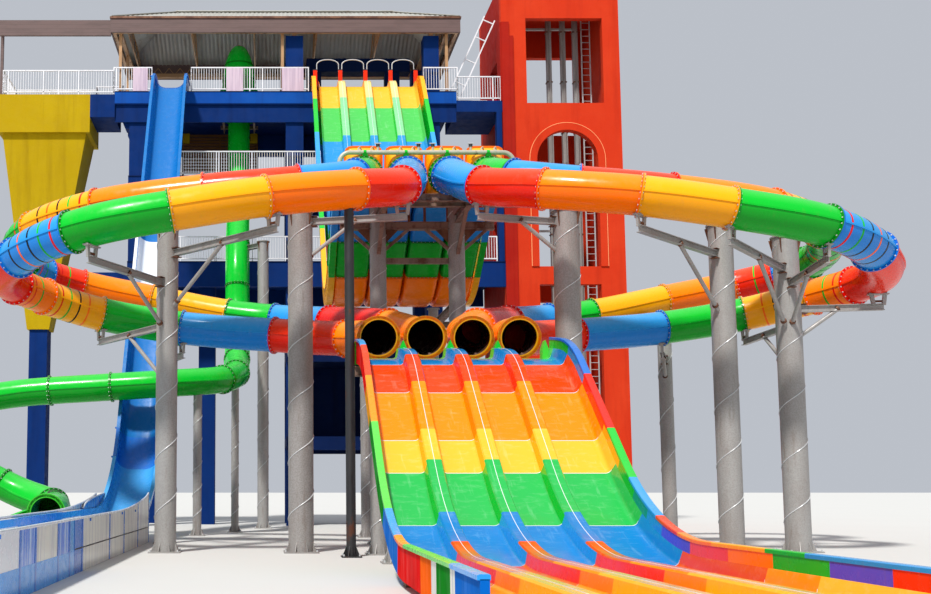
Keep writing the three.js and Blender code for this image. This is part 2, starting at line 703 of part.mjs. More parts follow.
function hood({ x, curve }) {
  const { half, top, skin, collar: radius, reach } = HOOD;
  const bore = radius - skin - 15;
  const inner = new ConvexGeometry([
    ...mouthOutline(x, half - skin, 0, top - skin, -LAP),
    ...collar(curve, bore, 0), ...collar(curve, bore, reach + LAP),
  ]);
  return cut(join(...hoodSolids({ x, curve }, 0)), inner);
}

const RACER_ROOMS = [
  ...RACER_TUBES.flatMap(({ curve }) => tubeRooms(curve, LOOP_CUTS)),
  ...RACER_TUBES.flatMap((tube) => hoodSolids(tube, GAP)),
];

function racerTubes() {
  for (const tube of RACER_TUBES) {
    for (const piece of LOOP_CUTS) {
      const shell = tubePiece(tube.curve, piece);
      place(tube.lane + piece.part, piece.from === 0 ? join(shell, hood(tube)) : shell, tube.key);
    }
  }
}

// The water pipe crosses over the four tubes, stands on them and comes down at both ends.
function waterPipe() {
  const y = -17000;
  const half = 2440;
  const high = 10990;
  const foot = 9760;
  const rise = [[-half, y, foot], [-half, y, high - 330], [-half + 80, y, high - 90],
    [-half + 300, y, high], [-half + 900, y, high]];
  const line = smooth([...rise, ...mirrored(rise).reverse()]);
  const legs = LANES.map((x) => post(x, y, 110, 110, high - 250, high - 40));
  const whole = join(pipe(line, 22, 66, 0, 8), ...legs);
  const beam = box(-3000, 3000, -17400, -16400, foot - 300, foot + GAP);
  place('water_pipe', cut(whole, beam, ...RACER_ROOMS), 'pipeGrey');
}

// Free-fall chute
const CHUTE_START = DECK_TOP + CHUTE.floor + GAP;
const CHUTE_PATH = roundedPath([
  [1000, CHUTE_START], [-450, CHUTE_START, 700], [-11120, 450, 6000], [-31000, 350],
]);

function chute() {
  const { x, half, floor, wall, height } = CHUTE;
  return join(
    strip(CHUTE_PATH, -floor, 0, x - half, x + half),
    wallStrip(CHUTE_PATH, height, x - half, x - half + wall),
    wallStrip(CHUTE_PATH, height, x + half - wall, x + half),
    ...plinths(CHUTE_PATH, floor, [-15000, -20200, -25400, -30600], x - 600, x + 600),
  );
}

// Capsule slide
const DROP_CURVE = smooth([
  [-5840, 2100, 19300], [-5840, 2050, 17600], [-5820, 1450, 15800], [-5790, 0, 14100],
  [-5770, -1500, 12500], [-5750, -2350, 10900], [-5730, -2700, 9200], [-5700, -3500, 7600],
  [-5680, -5200, 6450], [-5700, -7200, 5800], [-6250, -8900, 5450], [-7700, -9800, 5250],
  [-10000, -9850, 5100], [-13300, -9850, 4850], [-14900, -10300, 4450], [-15500, -11300, 3900],
  [-14900, -12300, 3100], [-13700, -12700, 2250], [-12200, -12900, 1500], [-11100, -13500, 1150],
  [-10750, -14700, 1000], [-10750, -15700, 920],
]);
const DROP_CUTS = [
  { part: 'drop_tube', from: 0, to: 0.32, steps: 13 },
  { part: 'long_tube', from: 0.32, to: 0.82, steps: 20 },
  { part: 'lower_tube', from: 0.82, to: 1, steps: 8 },
];
const DROP_ROOMS = tubeRooms(DROP_CURVE, DROP_CUTS);

function capsule() {
  const { x, y, radius, height, skin } = CAPSULE;
  const steps = 7;
  const dome = (wide, tall) => Array.from({ length: steps + 1 }, (unused, i) => {
    const t = i / steps;
    return new THREE.Vector2(wide * Math.sqrt(Math.max(0, 1 - t ** 3)), tall * t);
  });
  const profile = [...dome(radius - skin, height - skin).reverse(), ...dome(radius, height)];
  const shell = new THREE.LatheGeometry(profile, 16).rotateX(Math.PI / 2);
  shell.translate(x, y, DECK_TOP + GAP);
  const fins = [0, 1, 2, 3].map((n) => {
    const fin = prismY([[radius - skin / 2, 0], [1120, 0], [radius - skin, 1100]], -25, 25);
    return fin.rotateZ((n * Math.PI) / 2).translate(x, y, DECK_TOP + GAP);
  });
  const door = box(x - 300, x + 300, y + 200, y + 1100, DECK_TOP + 150, DECK_TOP + 1900);
  return cut(join(shell, ...fins.filter((unused, n) => n !== 1)), door);
}

function capsuleSlide() {
  place('rocket_capsule', capsule(), 'tubeGreen');
  const slab = box(CAPSULE.x - 900, CAPSULE.x + 900, CAPSULE.y - 900, CAPSULE.y + 900,
    DECK_TOP - SLAB - GAP, DECK_TOP);
  for (const piece of DROP_CUTS) {
    const tube = tubePiece(DROP_CURVE, piece);
    place(piece.part, piece.from === 0 ? cut(tube, slab) : tube, 'tubeGreen');
  }
  const floor = roundedPath([[-15400, 480], [-17500, 330, 3000], [-23500, 300]]);
  const x = -10750;
  const trough = join(
    strip(floor, -80, 0, x - 570, x + 570),
    wallStrip(floor, 560, x - 570, x - 490),
    wallStrip(floor, 560, x + 490, x + 570),
    ...plinths(floor, 80, [-16000, -19600, -23200], x - 450, x + 450),
  );
  const mouth = DROP_ROOMS.at(-1);
  const saddle = cut(trough, mouth, mouth.clone().translate(0, -GAP, -GAP));
  place('green_trough', saddle, 'tubeGreen');
}

// An arm from a column to a saddle under a tube's centre point, with a diagonal brace.
function arm(x, y, [tx, ty, tz]) {
  const z = tz - TUBE_R - 330;
  const reach = Math.hypot(tx - x, ty - y);
  const [ux, uy] = [(tx - x) / reach, (ty - y) / reach];
  const knee = 0.55 * reach;
  return [
    bar([x, y, z], [tx + ux * 120, ty + uy * 120, z], 130, 170),
    post(tx, ty, 200, 200, z, tz - TUBE_R + 120),
    bar([x, y, z - knee * 0.75], [x + ux * knee, y + uy * knee, z], 110, 110),
  ];
}

// A steel column with arms, and a head that carries the tube right above or beside it.
function steelColumn(name, { x, y, radius, top, arms = [], head }, rooms = RACER_ROOMS) {
  const parts = [rod(x, y, radius, 0, top)];
  for (const target of arms) parts.push(...arm(x, y, target));
  if (head) {
    const [hx, hy, hz] = head;
    if (Math.hypot(hx - x, hy - y) > radius / 2) {
      parts.push(bar([x, y, top - 120], [hx, hy, top - 120], 200, 200));
    }
    parts.push(post(hx, hy, 200, 200, top - 160, hz - TUBE_R + 120));
  }
  place(name, cut(join(...parts), ...rooms), 'steelGrey');
}

function racerColumns() {
  const left = ([x, y, z]) => [-x, y, z];
  const [f1, f3, f4, f5, elbow, home] = [2, 4, 5, 6, 8, 10].map((i) => FRONT_LOOP[i]);
  steelColumn('left_outer_column', {
    x: -7040, y: -18800, radius: 275, top: 8450, arms: [left(f3), left(f5), left(home)],
    head: [-7040, -18800, 9240],
  });
  steelColumn('right_inner_column', {
    x: 7370, y: -18700, radius: 300, top: 8450, arms: [f3], head: [7370, -18600, 9230],
  });
  steelColumn('right_outer_column', {
    x: 9080, y: -18650, radius: 310, top: 8150, arms: [f4, f5, elbow, home],
    head: [9080, -18300, 9040],
  });
  steelColumn('right_middle_column', {
    x: 3300, y: -18850, radius: 330, top: 8800, arms: [f1], head: [3500, -18850, 9520],
  });
  steelColumn('left_middle_column', {
    x: -3600, y: -18850, radius: 320, top: 8800, arms: [left(f1)], head: [-3600, -18850, 9500],
  });
  steelColumn('left_slim_column', { x: -2480, y: -20680, radius: 115, top: 8500 });
  for (const [word, side] of [['left', -1], ['right', 1]]) {
    const [x, y, z] = FRONT_LOOP[11];
    steelColumn(`${word}_rear_column`, {
      x: side * 7500, y: -14400, radius: 200, top: 6900, arms: [[side * x, y, z]],
      head: [side * 7500, -13050, 7430],
    });
  }
}

function dropColumns() {
  steelColumn('drop_column', {
    x: -4660, y: -2600, radius: 230, top: 12000, head: [-5765, -1650, 12330],
  }, DROP_ROOMS);
  steelColumn('elbow_column', { x: -5690, y: -6500, radius: 140, top: 5750 }, DROP_ROOMS);
  steelColumn('turn_column', { x: -6900, y: -9400, radius: 150, top: 5100 }, DROP_ROOMS);
}

// Steel frames under the flumes, trimmed to the floor that they carry
function launchTrestle() {
  const xs = [-1170, 1170];
  const crest = -15000;
  const valley = -10600;
  const front = -17100;
  const parts = xs.flatMap((x) => [
    rod(x, crest, 245, 0, 10500, 10), rod(x, valley, 165, 0, 8300, 10),
    box(x - 90, x + 90, crest, valley, 7000, 7200), box(x - 90, x + 90, front, crest, 9450, 9700),
  ]);
  parts.push(box(-2900, 2900, front - 120, front + 650, 9560, 9760));
  parts.push(box(-2300, 2300, crest - 120, crest + 120, 9300, 9520));
  parts.push(box(-2000, 2000, valley - 100, valley + 100, 7050, 7250));
  for (const x of LANES) parts.push(post(x, front + 120, 180, 180, 9700, 10050));
  const room = strip(LAUNCH_PATH, -FLOOR_THICK.launch - GAP, 900, -2700, 2700);
  place('launch_trestle', cut(join(...parts), room, ...RACER_ROOMS), 'steelBrown');
}

function finalTrestle() {
  const mouth = -19700;
  const slope = -22700;
  const parts = [-1725, 1725].flatMap((x) => [
    rod(x, mouth, 200, 0, 4700, 10), rod(x, slope, 150, 0, 3900, 10),
    box(x - 80, x + 80, slope, mouth, 2900, 3100),
  ]);
  parts.push(box(-2300, 2300, mouth - 130, mouth + 130, 4380, 4620));
  parts.push(box(-2200, 2200, slope - 100, slope + 100, 2900, 3100));
  for (const x of LANES) parts.push(post(x, mouth, 180, 180, 4500, 5050));
  const room = strip(FINAL_PATH, -FLOOR_THICK.final - GAP, 900, -2700, 2700);
  place('final_trestle', cut(join(...parts), room, ...RACER_ROOMS), 'steelBrown');
}

towerFrames();
topDeck();
galleries();
stairCore();
upperPortal();
roof();
railings();
accessShaft();
roofLadder();
pedestal();
place('launch_flume', launchFlume(), 'tubeGreen');
finalFlumes();
racerTubes();
waterPipe();
place('free_fall_chute', chute(), 'tubeBlue');
capsuleSlide();
racerColumns();
dropColumns();
launchTrestle();
finalTrestle();

// The origin is the middle of the footprint, on the ground.
const extent = new THREE.Box3().setFromObject(group);
const middle = extent.getCenter(new THREE.Vector3());
group.position.set(-middle.x, -middle.y, 0);
group.updateMatrixWorld(true);

export default group;
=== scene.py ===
"""Looks of the water slide tower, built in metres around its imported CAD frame."""

import math
from math import cos, pi, radians, sin

import bmesh
import bpy
import numpy as np
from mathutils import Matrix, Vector


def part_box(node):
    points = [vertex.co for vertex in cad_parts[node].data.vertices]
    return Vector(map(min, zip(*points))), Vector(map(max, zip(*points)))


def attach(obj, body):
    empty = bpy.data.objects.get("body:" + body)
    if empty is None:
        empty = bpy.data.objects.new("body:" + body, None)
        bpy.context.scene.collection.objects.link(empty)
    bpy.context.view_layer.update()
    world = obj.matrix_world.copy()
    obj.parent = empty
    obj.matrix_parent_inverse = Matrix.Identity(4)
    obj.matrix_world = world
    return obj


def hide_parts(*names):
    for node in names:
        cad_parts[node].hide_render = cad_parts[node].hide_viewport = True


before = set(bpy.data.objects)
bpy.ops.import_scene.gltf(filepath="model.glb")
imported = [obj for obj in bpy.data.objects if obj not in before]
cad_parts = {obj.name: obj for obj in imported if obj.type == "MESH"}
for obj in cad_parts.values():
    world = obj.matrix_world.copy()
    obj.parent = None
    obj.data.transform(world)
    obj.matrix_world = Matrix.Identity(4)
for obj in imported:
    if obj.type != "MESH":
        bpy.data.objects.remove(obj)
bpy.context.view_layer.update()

# Site frame: x = 0 is the racer's centre line, y = 0 the tower's front face, -y the visitor
SHAFT_X0 = 6.17
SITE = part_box("shaft_front_wall")[0] - Vector((SHAFT_X0, 0, 0))

# Driving dimensions of the tower, repeated from the solids
STOREY = 3.92
DECK_TOP = 5 * STOREY
TOWER_DEPTH = 5.0
TOWER_LEFT = -11.41
TOWER_RIGHT = 4.09
BRIDGE_TOP = 19.17
EAVE = 23.05
ROOF_OVER = 0.2
ROOF_PITCH = radians(29)
FASCIA = 0.76
RAIL_HEIGHT = 1.16
RAIL_LOW = 0.13
RAIL_INSET = 0.06
BACK_LINE = 2.94
SHAFT_X1 = 11.55
SHAFT_HIGH = 24.3
PED_X0 = -16.70
PED_X1 = -12.53
PED_TOP = 19.46
PED_DEPTH = 2.4

# Driving dimensions of the slides
LANE = 1.15
LANES = [n * LANE for n in (-1.5, -0.5, 0.5, 1.5)]
RIDGES = (-LANE, 0, LANE)
FLUME_HALF = 2.15 * LANE
TUBE_R = 0.475
TUBE_BORE = 0.44
FLANGE_R = 0.53
CHUTE_X = -8.85
TROUGH_X = -10.75
CAPSULE_X = -5.84
CAPSULE_Y = 2.1
WHOLE = (0, 2 * pi)

WHITE = (1, 1, 1)
BLACK = (0, 0, 0)

# Paint: sRGB of each gel coat in the light, in the shade and, where it lines a floor, wet
GEL_COAT = {
    "red": ((0.94, 0.20, 0.05), (0.86, 0.03, 0.02), (0.86, 0.26, 0.04)),
    "orange": ((1.0, 0.52, 0.0), (0.96, 0.38, 0.0), (1.0, 0.53, 0.01)),
    "yellow": ((1.0, 0.68, 0.05), (0.88, 0.58, 0.02), (0.96, 0.71, 0.20)),
    "green": ((0.03, 0.74, 0.18), (0.0, 0.50, 0.07), (0.16, 0.68, 0.31)),
    "blue": ((0.15, 0.58, 0.86), (0.03, 0.40, 0.78), (0.08, 0.49, 0.75)),
    "sky": ((0.16, 0.60, 0.92), (0.03, 0.38, 0.78), (0.16, 0.56, 0.80)),
    "lime": ((0.30, 0.80, 0.25), (0.10, 0.62, 0.10), (0.30, 0.74, 0.34)),
    "teal": ((0.02, 0.58, 0.55), (0.02, 0.35, 0.38)),
    "violet": ((0.35, 0.32, 0.86), (0.20, 0.15, 0.60)),
    "pink": ((0.96, 0.30, 0.25), (0.72, 0.10, 0.10)),
    "white": ((0.88, 0.90, 0.93), (0.70, 0.72, 0.78)),
    "cream": ((0.92, 0.80, 0.40), (0.80, 0.62, 0.20), (0.93, 0.84, 0.55)),
    "mint": ((0.44, 0.78, 0.48), (0.20, 0.60, 0.28), (0.52, 0.82, 0.58)),
    "azure": ((0.02, 0.42, 0.72), (0.02, 0.34, 0.64)),
}


def linear(colour):
    """sRGB to the linear values that shaders take."""
    return tuple(c / 12.92 if c <= 0.04045 else ((c + 0.055) / 1.055) ** 2.4 for c in colour)


def tint(colour, other, share):
    return tuple(a * (1 - share) + b * share for a, b in zip(colour, other))


# Materials
class Surface:
    """One node material, with short calls for the nodes that every surface here needs."""

    def __init__(self, name, colour, roughness=0.5, metallic=0.0, coat=0.0, specular=0.5):
        self.material = bpy.data.materials.new(name)
        self.material.use_nodes = True
        self.tree = self.material.node_tree
        self.shader = self.tree.nodes["Principled BSDF"]
        self.last = (*linear(colour), 1)
        self.material.diffuse_color = self.last
        for socket, value in (("Base Color", self.last), ("Roughness", roughness),
                              ("Metallic", metallic), ("Specular IOR Level", specular),
                              ("Coat Weight", coat), ("Coat Roughness", 0.08)):
            self.shader.inputs[socket].default_value = value

    def feed(self, socket, value):
        """Link the output of a node, or set a plain value."""
        if isinstance(value, bpy.types.NodeSocket):
            self.tree.links.new(value, socket)
        else:
            socket.default_value = value

    def node(self, kind, **inputs):
        node = self.tree.nodes.new(kind)
        for name, value in inputs.items():
            self.feed(node.inputs[name.replace("_", " ")], value)
        return node

    def math(self, operation, *values):
        node = self.tree.nodes.new("ShaderNodeMath")
        node.operation = operation
        for socket, value in zip(node.inputs, values):
            self.feed(socket, value)
        return node.outputs["Value"]

    def place(self, stretch=(1, 1, 1)):
        """Object coordinates, stretched."""
        coordinates = self.node("ShaderNodeTexCoord").outputs["Object"]
        return self.node("ShaderNodeMapping", Vector=coordinates, Scale=stretch).outputs["Vector"]

    def noise(self, scale, detail=4, stretch=(1, 1, 1), rough=0.6):
        return self.node("ShaderNodeTexNoise", Vector=self.place(stretch), Scale=scale,
                         Detail=detail, Roughness=rough).outputs["Fac"]

    def ramp(self, value, low, high, start, end):
        return self.node("ShaderNodeMapRange", Value=value, From_Min=low, From_Max=high,
                         To_Min=start, To_Max=end).outputs["Result"]

    def blend(self, value, low, high, share, colour):
        """Mixes in up to this share of a colour as the value goes from low to high."""
        factor = self.ramp(value, low, high, 0.0, share)
        node = self.tree.nodes.new("ShaderNodeMix")
        node.data_type = "RGBA"
        self.feed(node.inputs["Factor"], factor)
        self.feed(node.inputs[6], self.last)
        node.inputs[7].default_value = (*linear(colour), 1)
        self.last = node.outputs[2]
        self.feed(self.shader.inputs["Base Color"], self.last)

    def cloud(self, colour, share, low, high, scale, detail, stretch=(1, 1, 1)):
        """Mixes in a colour by the clouds of a noise."""
        self.blend(self.noise(scale, detail, stretch), low, high, share, colour)

    def rough(self, value, low, high, start, end):
        self.feed(self.shader.inputs["Roughness"], self.ramp(value, low, high, start, end))

    def bump(self, height, strength, distance):
        node = self.node("ShaderNodeBump", Height=height, Strength=strength, Distance=distance)
        self.feed(self.shader.inputs["Normal"], node.outputs["Normal"])

    def facing_up(self):
        """The world normal's height: 1 on a floor, 0 on a wall, -1 on a soffit."""
        normal = self.node("ShaderNodeNewGeometry").outputs["Normal"]
        return self.node("ShaderNodeSeparateXYZ", Vector=normal).outputs["Z"]


def laminate(name, colour, deep):
    """Glossy gel coat with faint streaks and grime: lighter on top from sun bleach and painted
    sunlight, and in painted shade on faces that point down.
    """
    s = Surface(name, colour, roughness=0.22, coat=0.07, specular=0.2)
    up = s.facing_up()
    # Painted light: faces that point up take a pale tint, faces that point down take the shade
    # colour, and faces that point straight down get half the lit colour back.
    s.blend(up, 0.3, 0.95, 0.20, tint(colour, (1, 1, 0.9), 0.55))
    s.blend(up, 0.06, -0.22, 0.62, deep)
    s.blend(up, -0.7, -1.0, 0.5, colour)
    s.cloud(deep, 0.12, 0.45, 0.75, 0.9, 3)
    s.cloud((0.55, 0.45, 0.35), 0.14, 0.58, 0.76, 7, 6, (1, 1, 0.25))
    s.rough(s.noise(5, 5), 0.3, 0.75, 0.14, 0.38)
    s.bump(s.noise(2.2, 2), 0.25, 0.01)
    return s.material


def wet_laminate(name, colour, deep):
    """Flume floor: the same gel coat under a thin rippled run of water, with painted sheen on the
    ripples and streaks.
    """
    s = Surface(name, colour, roughness=0.16, coat=0.12, specular=0.22)
    ripples = s.noise(4.5, 7, (0.7, 2.2, 2.2), 0.7)
    s.cloud(deep, 0.16, 0.42, 0.7, 0.8, 3)
    # Painted sheen of the water: ripples and long streaks tinted toward white.
    s.blend(ripples, 0.52, 0.68, 0.14, tint(colour, WHITE, 0.6))
    s.cloud(tint(colour, WHITE, 0.55), 0.16, 0.58, 0.68, 3, 6, (3.2, 0.5, 0.5))
    s.rough(ripples, 0.35, 0.7, 0.07, 0.26)
    s.bump(ripples, 0.25, 0.012)
    return s.material


def streaked(name, colour, other):
    """Panel with water running down it."""
    s = Surface(name, colour, roughness=0.25, coat=0.1, specular=0.3)
    s.cloud(other, 0.8, 0.46, 0.62, 3.2, 7, (3, 3, 0.15))
    return s.material


def shaded_side_panel(name, colour):
    """Dull outer face of a splash wall in its gel coat's shade colour, painted shade, with faint
    runs of water.
    """
    s = Surface(name, colour, roughness=0.7, specular=0.02)
    s.cloud(tint(colour, WHITE, 0.5), 0.2, 0.5, 0.7, 2.4, 6, (2, 2, 0.3))
    s.cloud(tint(colour, BLACK, 0.5), 0.3, 0.45, 0.7, 0.9, 3)
    return s.material


def masonry(name, colour, dark, light):
    """Painted render: fine grain, cloudy fading, rain streaks below edges."""
    s = Surface(name, colour, roughness=0.85, specular=0.1)
    s.cloud(light, 0.35, 0.42, 0.68, 0.5, 5)
    s.cloud(dark, 0.4, 0.5, 0.72, 1.3, 6, (1.6, 1.6, 0.12))
    s.cloud(dark, 0.25, 0.58, 0.72, 14, 8)
    s.rough(s.noise(3, 4), 0.3, 0.8, 0.62, 0.92)
    s.bump(s.noise(38, 6), 0.5, 0.006)
    return s.material


def painted_steel(name, colour, rust, roughness=0.42):
    """Paint with chips, rust runs and grime."""
    s = Surface(name, colour, roughness=roughness, metallic=0.15)
    patches = s.noise(2.3, 8, (1, 1, 0.5), 0.7)
    s.cloud(tint(colour, (0.2, 0.2, 0.2), 0.4), 0.35, 0.4, 0.75, 0.8, 4)
    s.blend(patches, 0.66 - 0.16 * rust, 0.72 - 0.1 * rust, 0.9, (0.33, 0.17, 0.09))
    s.rough(patches, 0.4, 0.7, roughness * 0.8, 0.8)
    s.bump(patches, 0.3, 0.004)
    return s.material


def galvanised(name, colour, bloom):
    """Zinc-coated pipe: spangle, brown bloom and darker runs."""
    s = Surface(name, colour, roughness=0.5, metallic=0.2, specular=0.3)
    cells = s.node("ShaderNodeTexVoronoi", Vector=s.place(), Scale=28.0)
    s.blend(cells.outputs["Distance"], 0.1, 0.7, 0.25, (0.76, 0.76, 0.76))
    s.cloud((0.46, 0.40, 0.37), bloom, 0.45, 0.75, 0.9, 6, (1, 1, 0.4))
    s.cloud((0.42, 0.34, 0.29), 0.55, 0.58, 0.76, 3.5, 8, (2, 2, 0.25))
    s.rough(s.noise(6, 5), 0.3, 0.75, 0.32, 0.62)
    s.bump(s.noise(11, 5), 0.2, 0.003)
    return s.material


def weathered_sheet(name, colour):
    """Bare roof metal with dull clouds and rust along the ribs."""
    s = Surface(name, colour, roughness=0.42, metallic=0.35)
    s.cloud((0.60, 0.57, 0.52), 0.5, 0.4, 0.7, 0.7, 6)
    s.cloud((0.50, 0.38, 0.28), 0.5, 0.55, 0.72, 2.5, 7, (1.6, 0.3, 0.3))
    s.rough(s.noise(4, 4), 0.3, 0.7, 0.35, 0.6)
    return s.material


def boards(name, colour, dark):
    """Horizontal boards with a joint every so often."""
    s = Surface(name, colour, roughness=0.6)
    z = s.node("ShaderNodeSeparateXYZ", Vector=s.place()).outputs["Z"]
    s.blend(s.math("FRACT", s.math("MULTIPLY", z, 5.2)), 0.12, 0.0, 0.8, dark)
    s.cloud(dark, 0.45, 0.45, 0.7, 2.0, 7, (0.5, 0.5, 3))
    return s.material


MATERIAL = {}
for key, (bright, shade, *wet) in GEL_COAT.items():
    MATERIAL[key] = laminate(f"{key}_gel_coat", bright, shade)
    MATERIAL[f"deep_{key}"] = laminate(f"deep_{key}_gel_coat", shade, shade)
    if wet:
        MATERIAL[f"wet_{key}"] = wet_laminate(f"wet_{key}_gel_coat", wet[0], bright)
for key in ("red", "orange", "yellow", "green", "blue"):
    # Splash wall panels in each gel coat's shade colour: painted shade.
    MATERIAL[f"panel_{key}"] = shaded_side_panel(f"panel_{key}", GEL_COAT[key][1])
for key, finish, name, *look in (
        ("wash", streaked, "water_wash", (0.05, 0.42, 0.86), (0.72, 0.84, 0.95)),
        ("rail_board", streaked, "rail_board", (0.82, 0.74, 0.80), (0.72, 0.64, 0.72)),
        ("milk", streaked, "milky_panel", (0.84, 0.84, 0.80), (0.66, 0.66, 0.72)),
        ("black", laminate, "black_gel_coat", (0.03, 0.03, 0.035), (0.01, 0.01, 0.01)),
        # A dark red-brown for the bore at each tube's mouth: painted shade.
        ("shaded_bore_red", laminate, "shaded_bore_red_gel_coat", (0.20, 0.04, 0.02), (0.08, 0.01, 0.01)),
        ("tower_blue", masonry, "tower_blue", (0.01, 0.16, 0.40), (0.01, 0.08, 0.24),
         (0.02, 0.20, 0.47)),
        # A darker copy of the tower's blue: painted shade.
        ("shaded_tower_blue", masonry, "shaded_tower_blue", (0.01, 0.10, 0.27), (0.01, 0.05, 0.16),
         (0.02, 0.13, 0.33)),
        # A lighter copy of the tower's blue: painted sunlight.
        ("sunlit_edge_blue", masonry, "sunlit_edge_blue", (0.03, 0.28, 0.62), (0.02, 0.16, 0.40),
         (0.08, 0.36, 0.70)),
        ("red_render", masonry, "red_render", (0.78, 0.20, 0.08), (0.62, 0.12, 0.05),
         (0.84, 0.27, 0.13)),
        ("dark_red_render", masonry, "dark_red_render", (0.62, 0.10, 0.06),
         (0.42, 0.05, 0.03), (0.70, 0.16, 0.08)),
        # The thin pale line round the arch: a painted highlight.
        ("arch_highlight_render", masonry, "arch_highlight_render", (0.95, 0.62, 0.42), (0.80, 0.40, 0.22),
         (0.98, 0.75, 0.55)),
        ("yellow_render", masonry, "yellow_render", (0.70, 0.58, 0.02), (0.54, 0.42, 0.02),
         (0.76, 0.65, 0.05)),
        ("grey_concrete", masonry, "grey_concrete", (0.45, 0.38, 0.32), (0.28, 0.22, 0.18),
         (0.55, 0.48, 0.42)),
        ("roof_metal", weathered_sheet, "roof_metal", (0.74, 0.74, 0.71)),
        ("fascia_metal", boards, "fascia_boards", (0.39, 0.30, 0.29), (0.25, 0.18, 0.17)),
        ("louvre", boards, "louvre_boards", (0.45, 0.28, 0.10), (0.25, 0.14, 0.05)),
        ("tan_steel", painted_steel, "tan_steel", (0.70, 0.54, 0.38), 0.5),
        ("white_steel", painted_steel, "white_steel", (0.90, 0.90, 0.92), 0.05),
        ("brown_steel", painted_steel, "brown_steel", (0.52, 0.42, 0.37), 1.1, 0.55),
        ("pipe_steel", painted_steel, "pipe_steel", (0.72, 0.71, 0.64), 0.25),
        ("dark_steel", painted_steel, "dark_steel", (0.16, 0.16, 0.17), 0.5),
        ("bright_steel", painted_steel, "bright_steel", (0.78, 0.79, 0.80), 0.0, 0.25),
        ("rust_steel", painted_steel, "rust_steel", (0.50, 0.33, 0.23), 1.6, 0.6),
        ("galvanised", galvanised, "galvanised", (0.58, 0.57, 0.56), 0.45),
        ("worn_zinc", galvanised, "worn_zinc", (0.54, 0.52, 0.51), 0.6)):
    MATERIAL[key] = finish(name, *look)


# Outlines and frames
def rect(x0, x1, h0, h1):
    return [(x0, h0), (x1, h0), (x1, h1), (x0, h1)]


def round_outline(radius, sides):
    return [(radius * cos(2 * pi * k / sides), radius * sin(2 * pi * k / sides))
            for k in range(sides)]


def arc(cx, cz, radius, start, end, steps=5):
    turns = [radians(start + (end - start) * k / steps) for k in range(steps + 1)]
    return [(cx + radius * cos(t), cz + radius * sin(t)) for t in turns]


def placed(outline, centre, side, up):
    """An outline in (side, up), set out round a centre."""
    return [centre + side * u + up * v for u, v in outline]


def unit(vector):
    return vector / np.linalg.norm(vector)


def cross_frame(along):
    """Two unit vectors square to a direction: one level, one as upright as it can be."""
    along = unit(along)
    side = np.cross(along, (0, 0, 1))
    side = unit(side) if np.linalg.norm(side) > 1e-3 else np.array((1.0, 0, 0))
    return side, np.cross(side, along)


def stops_between(start, end, step):
    return np.linspace(start, end, max(1, math.ceil((end - start) / step)) + 1)


def mirrored(points):
    return [(-x, y, z) for x, y, z in points]


def link(name, data):
    piece = bpy.data.objects.new(name, data)
    bpy.context.scene.collection.objects.link(piece)
    return piece


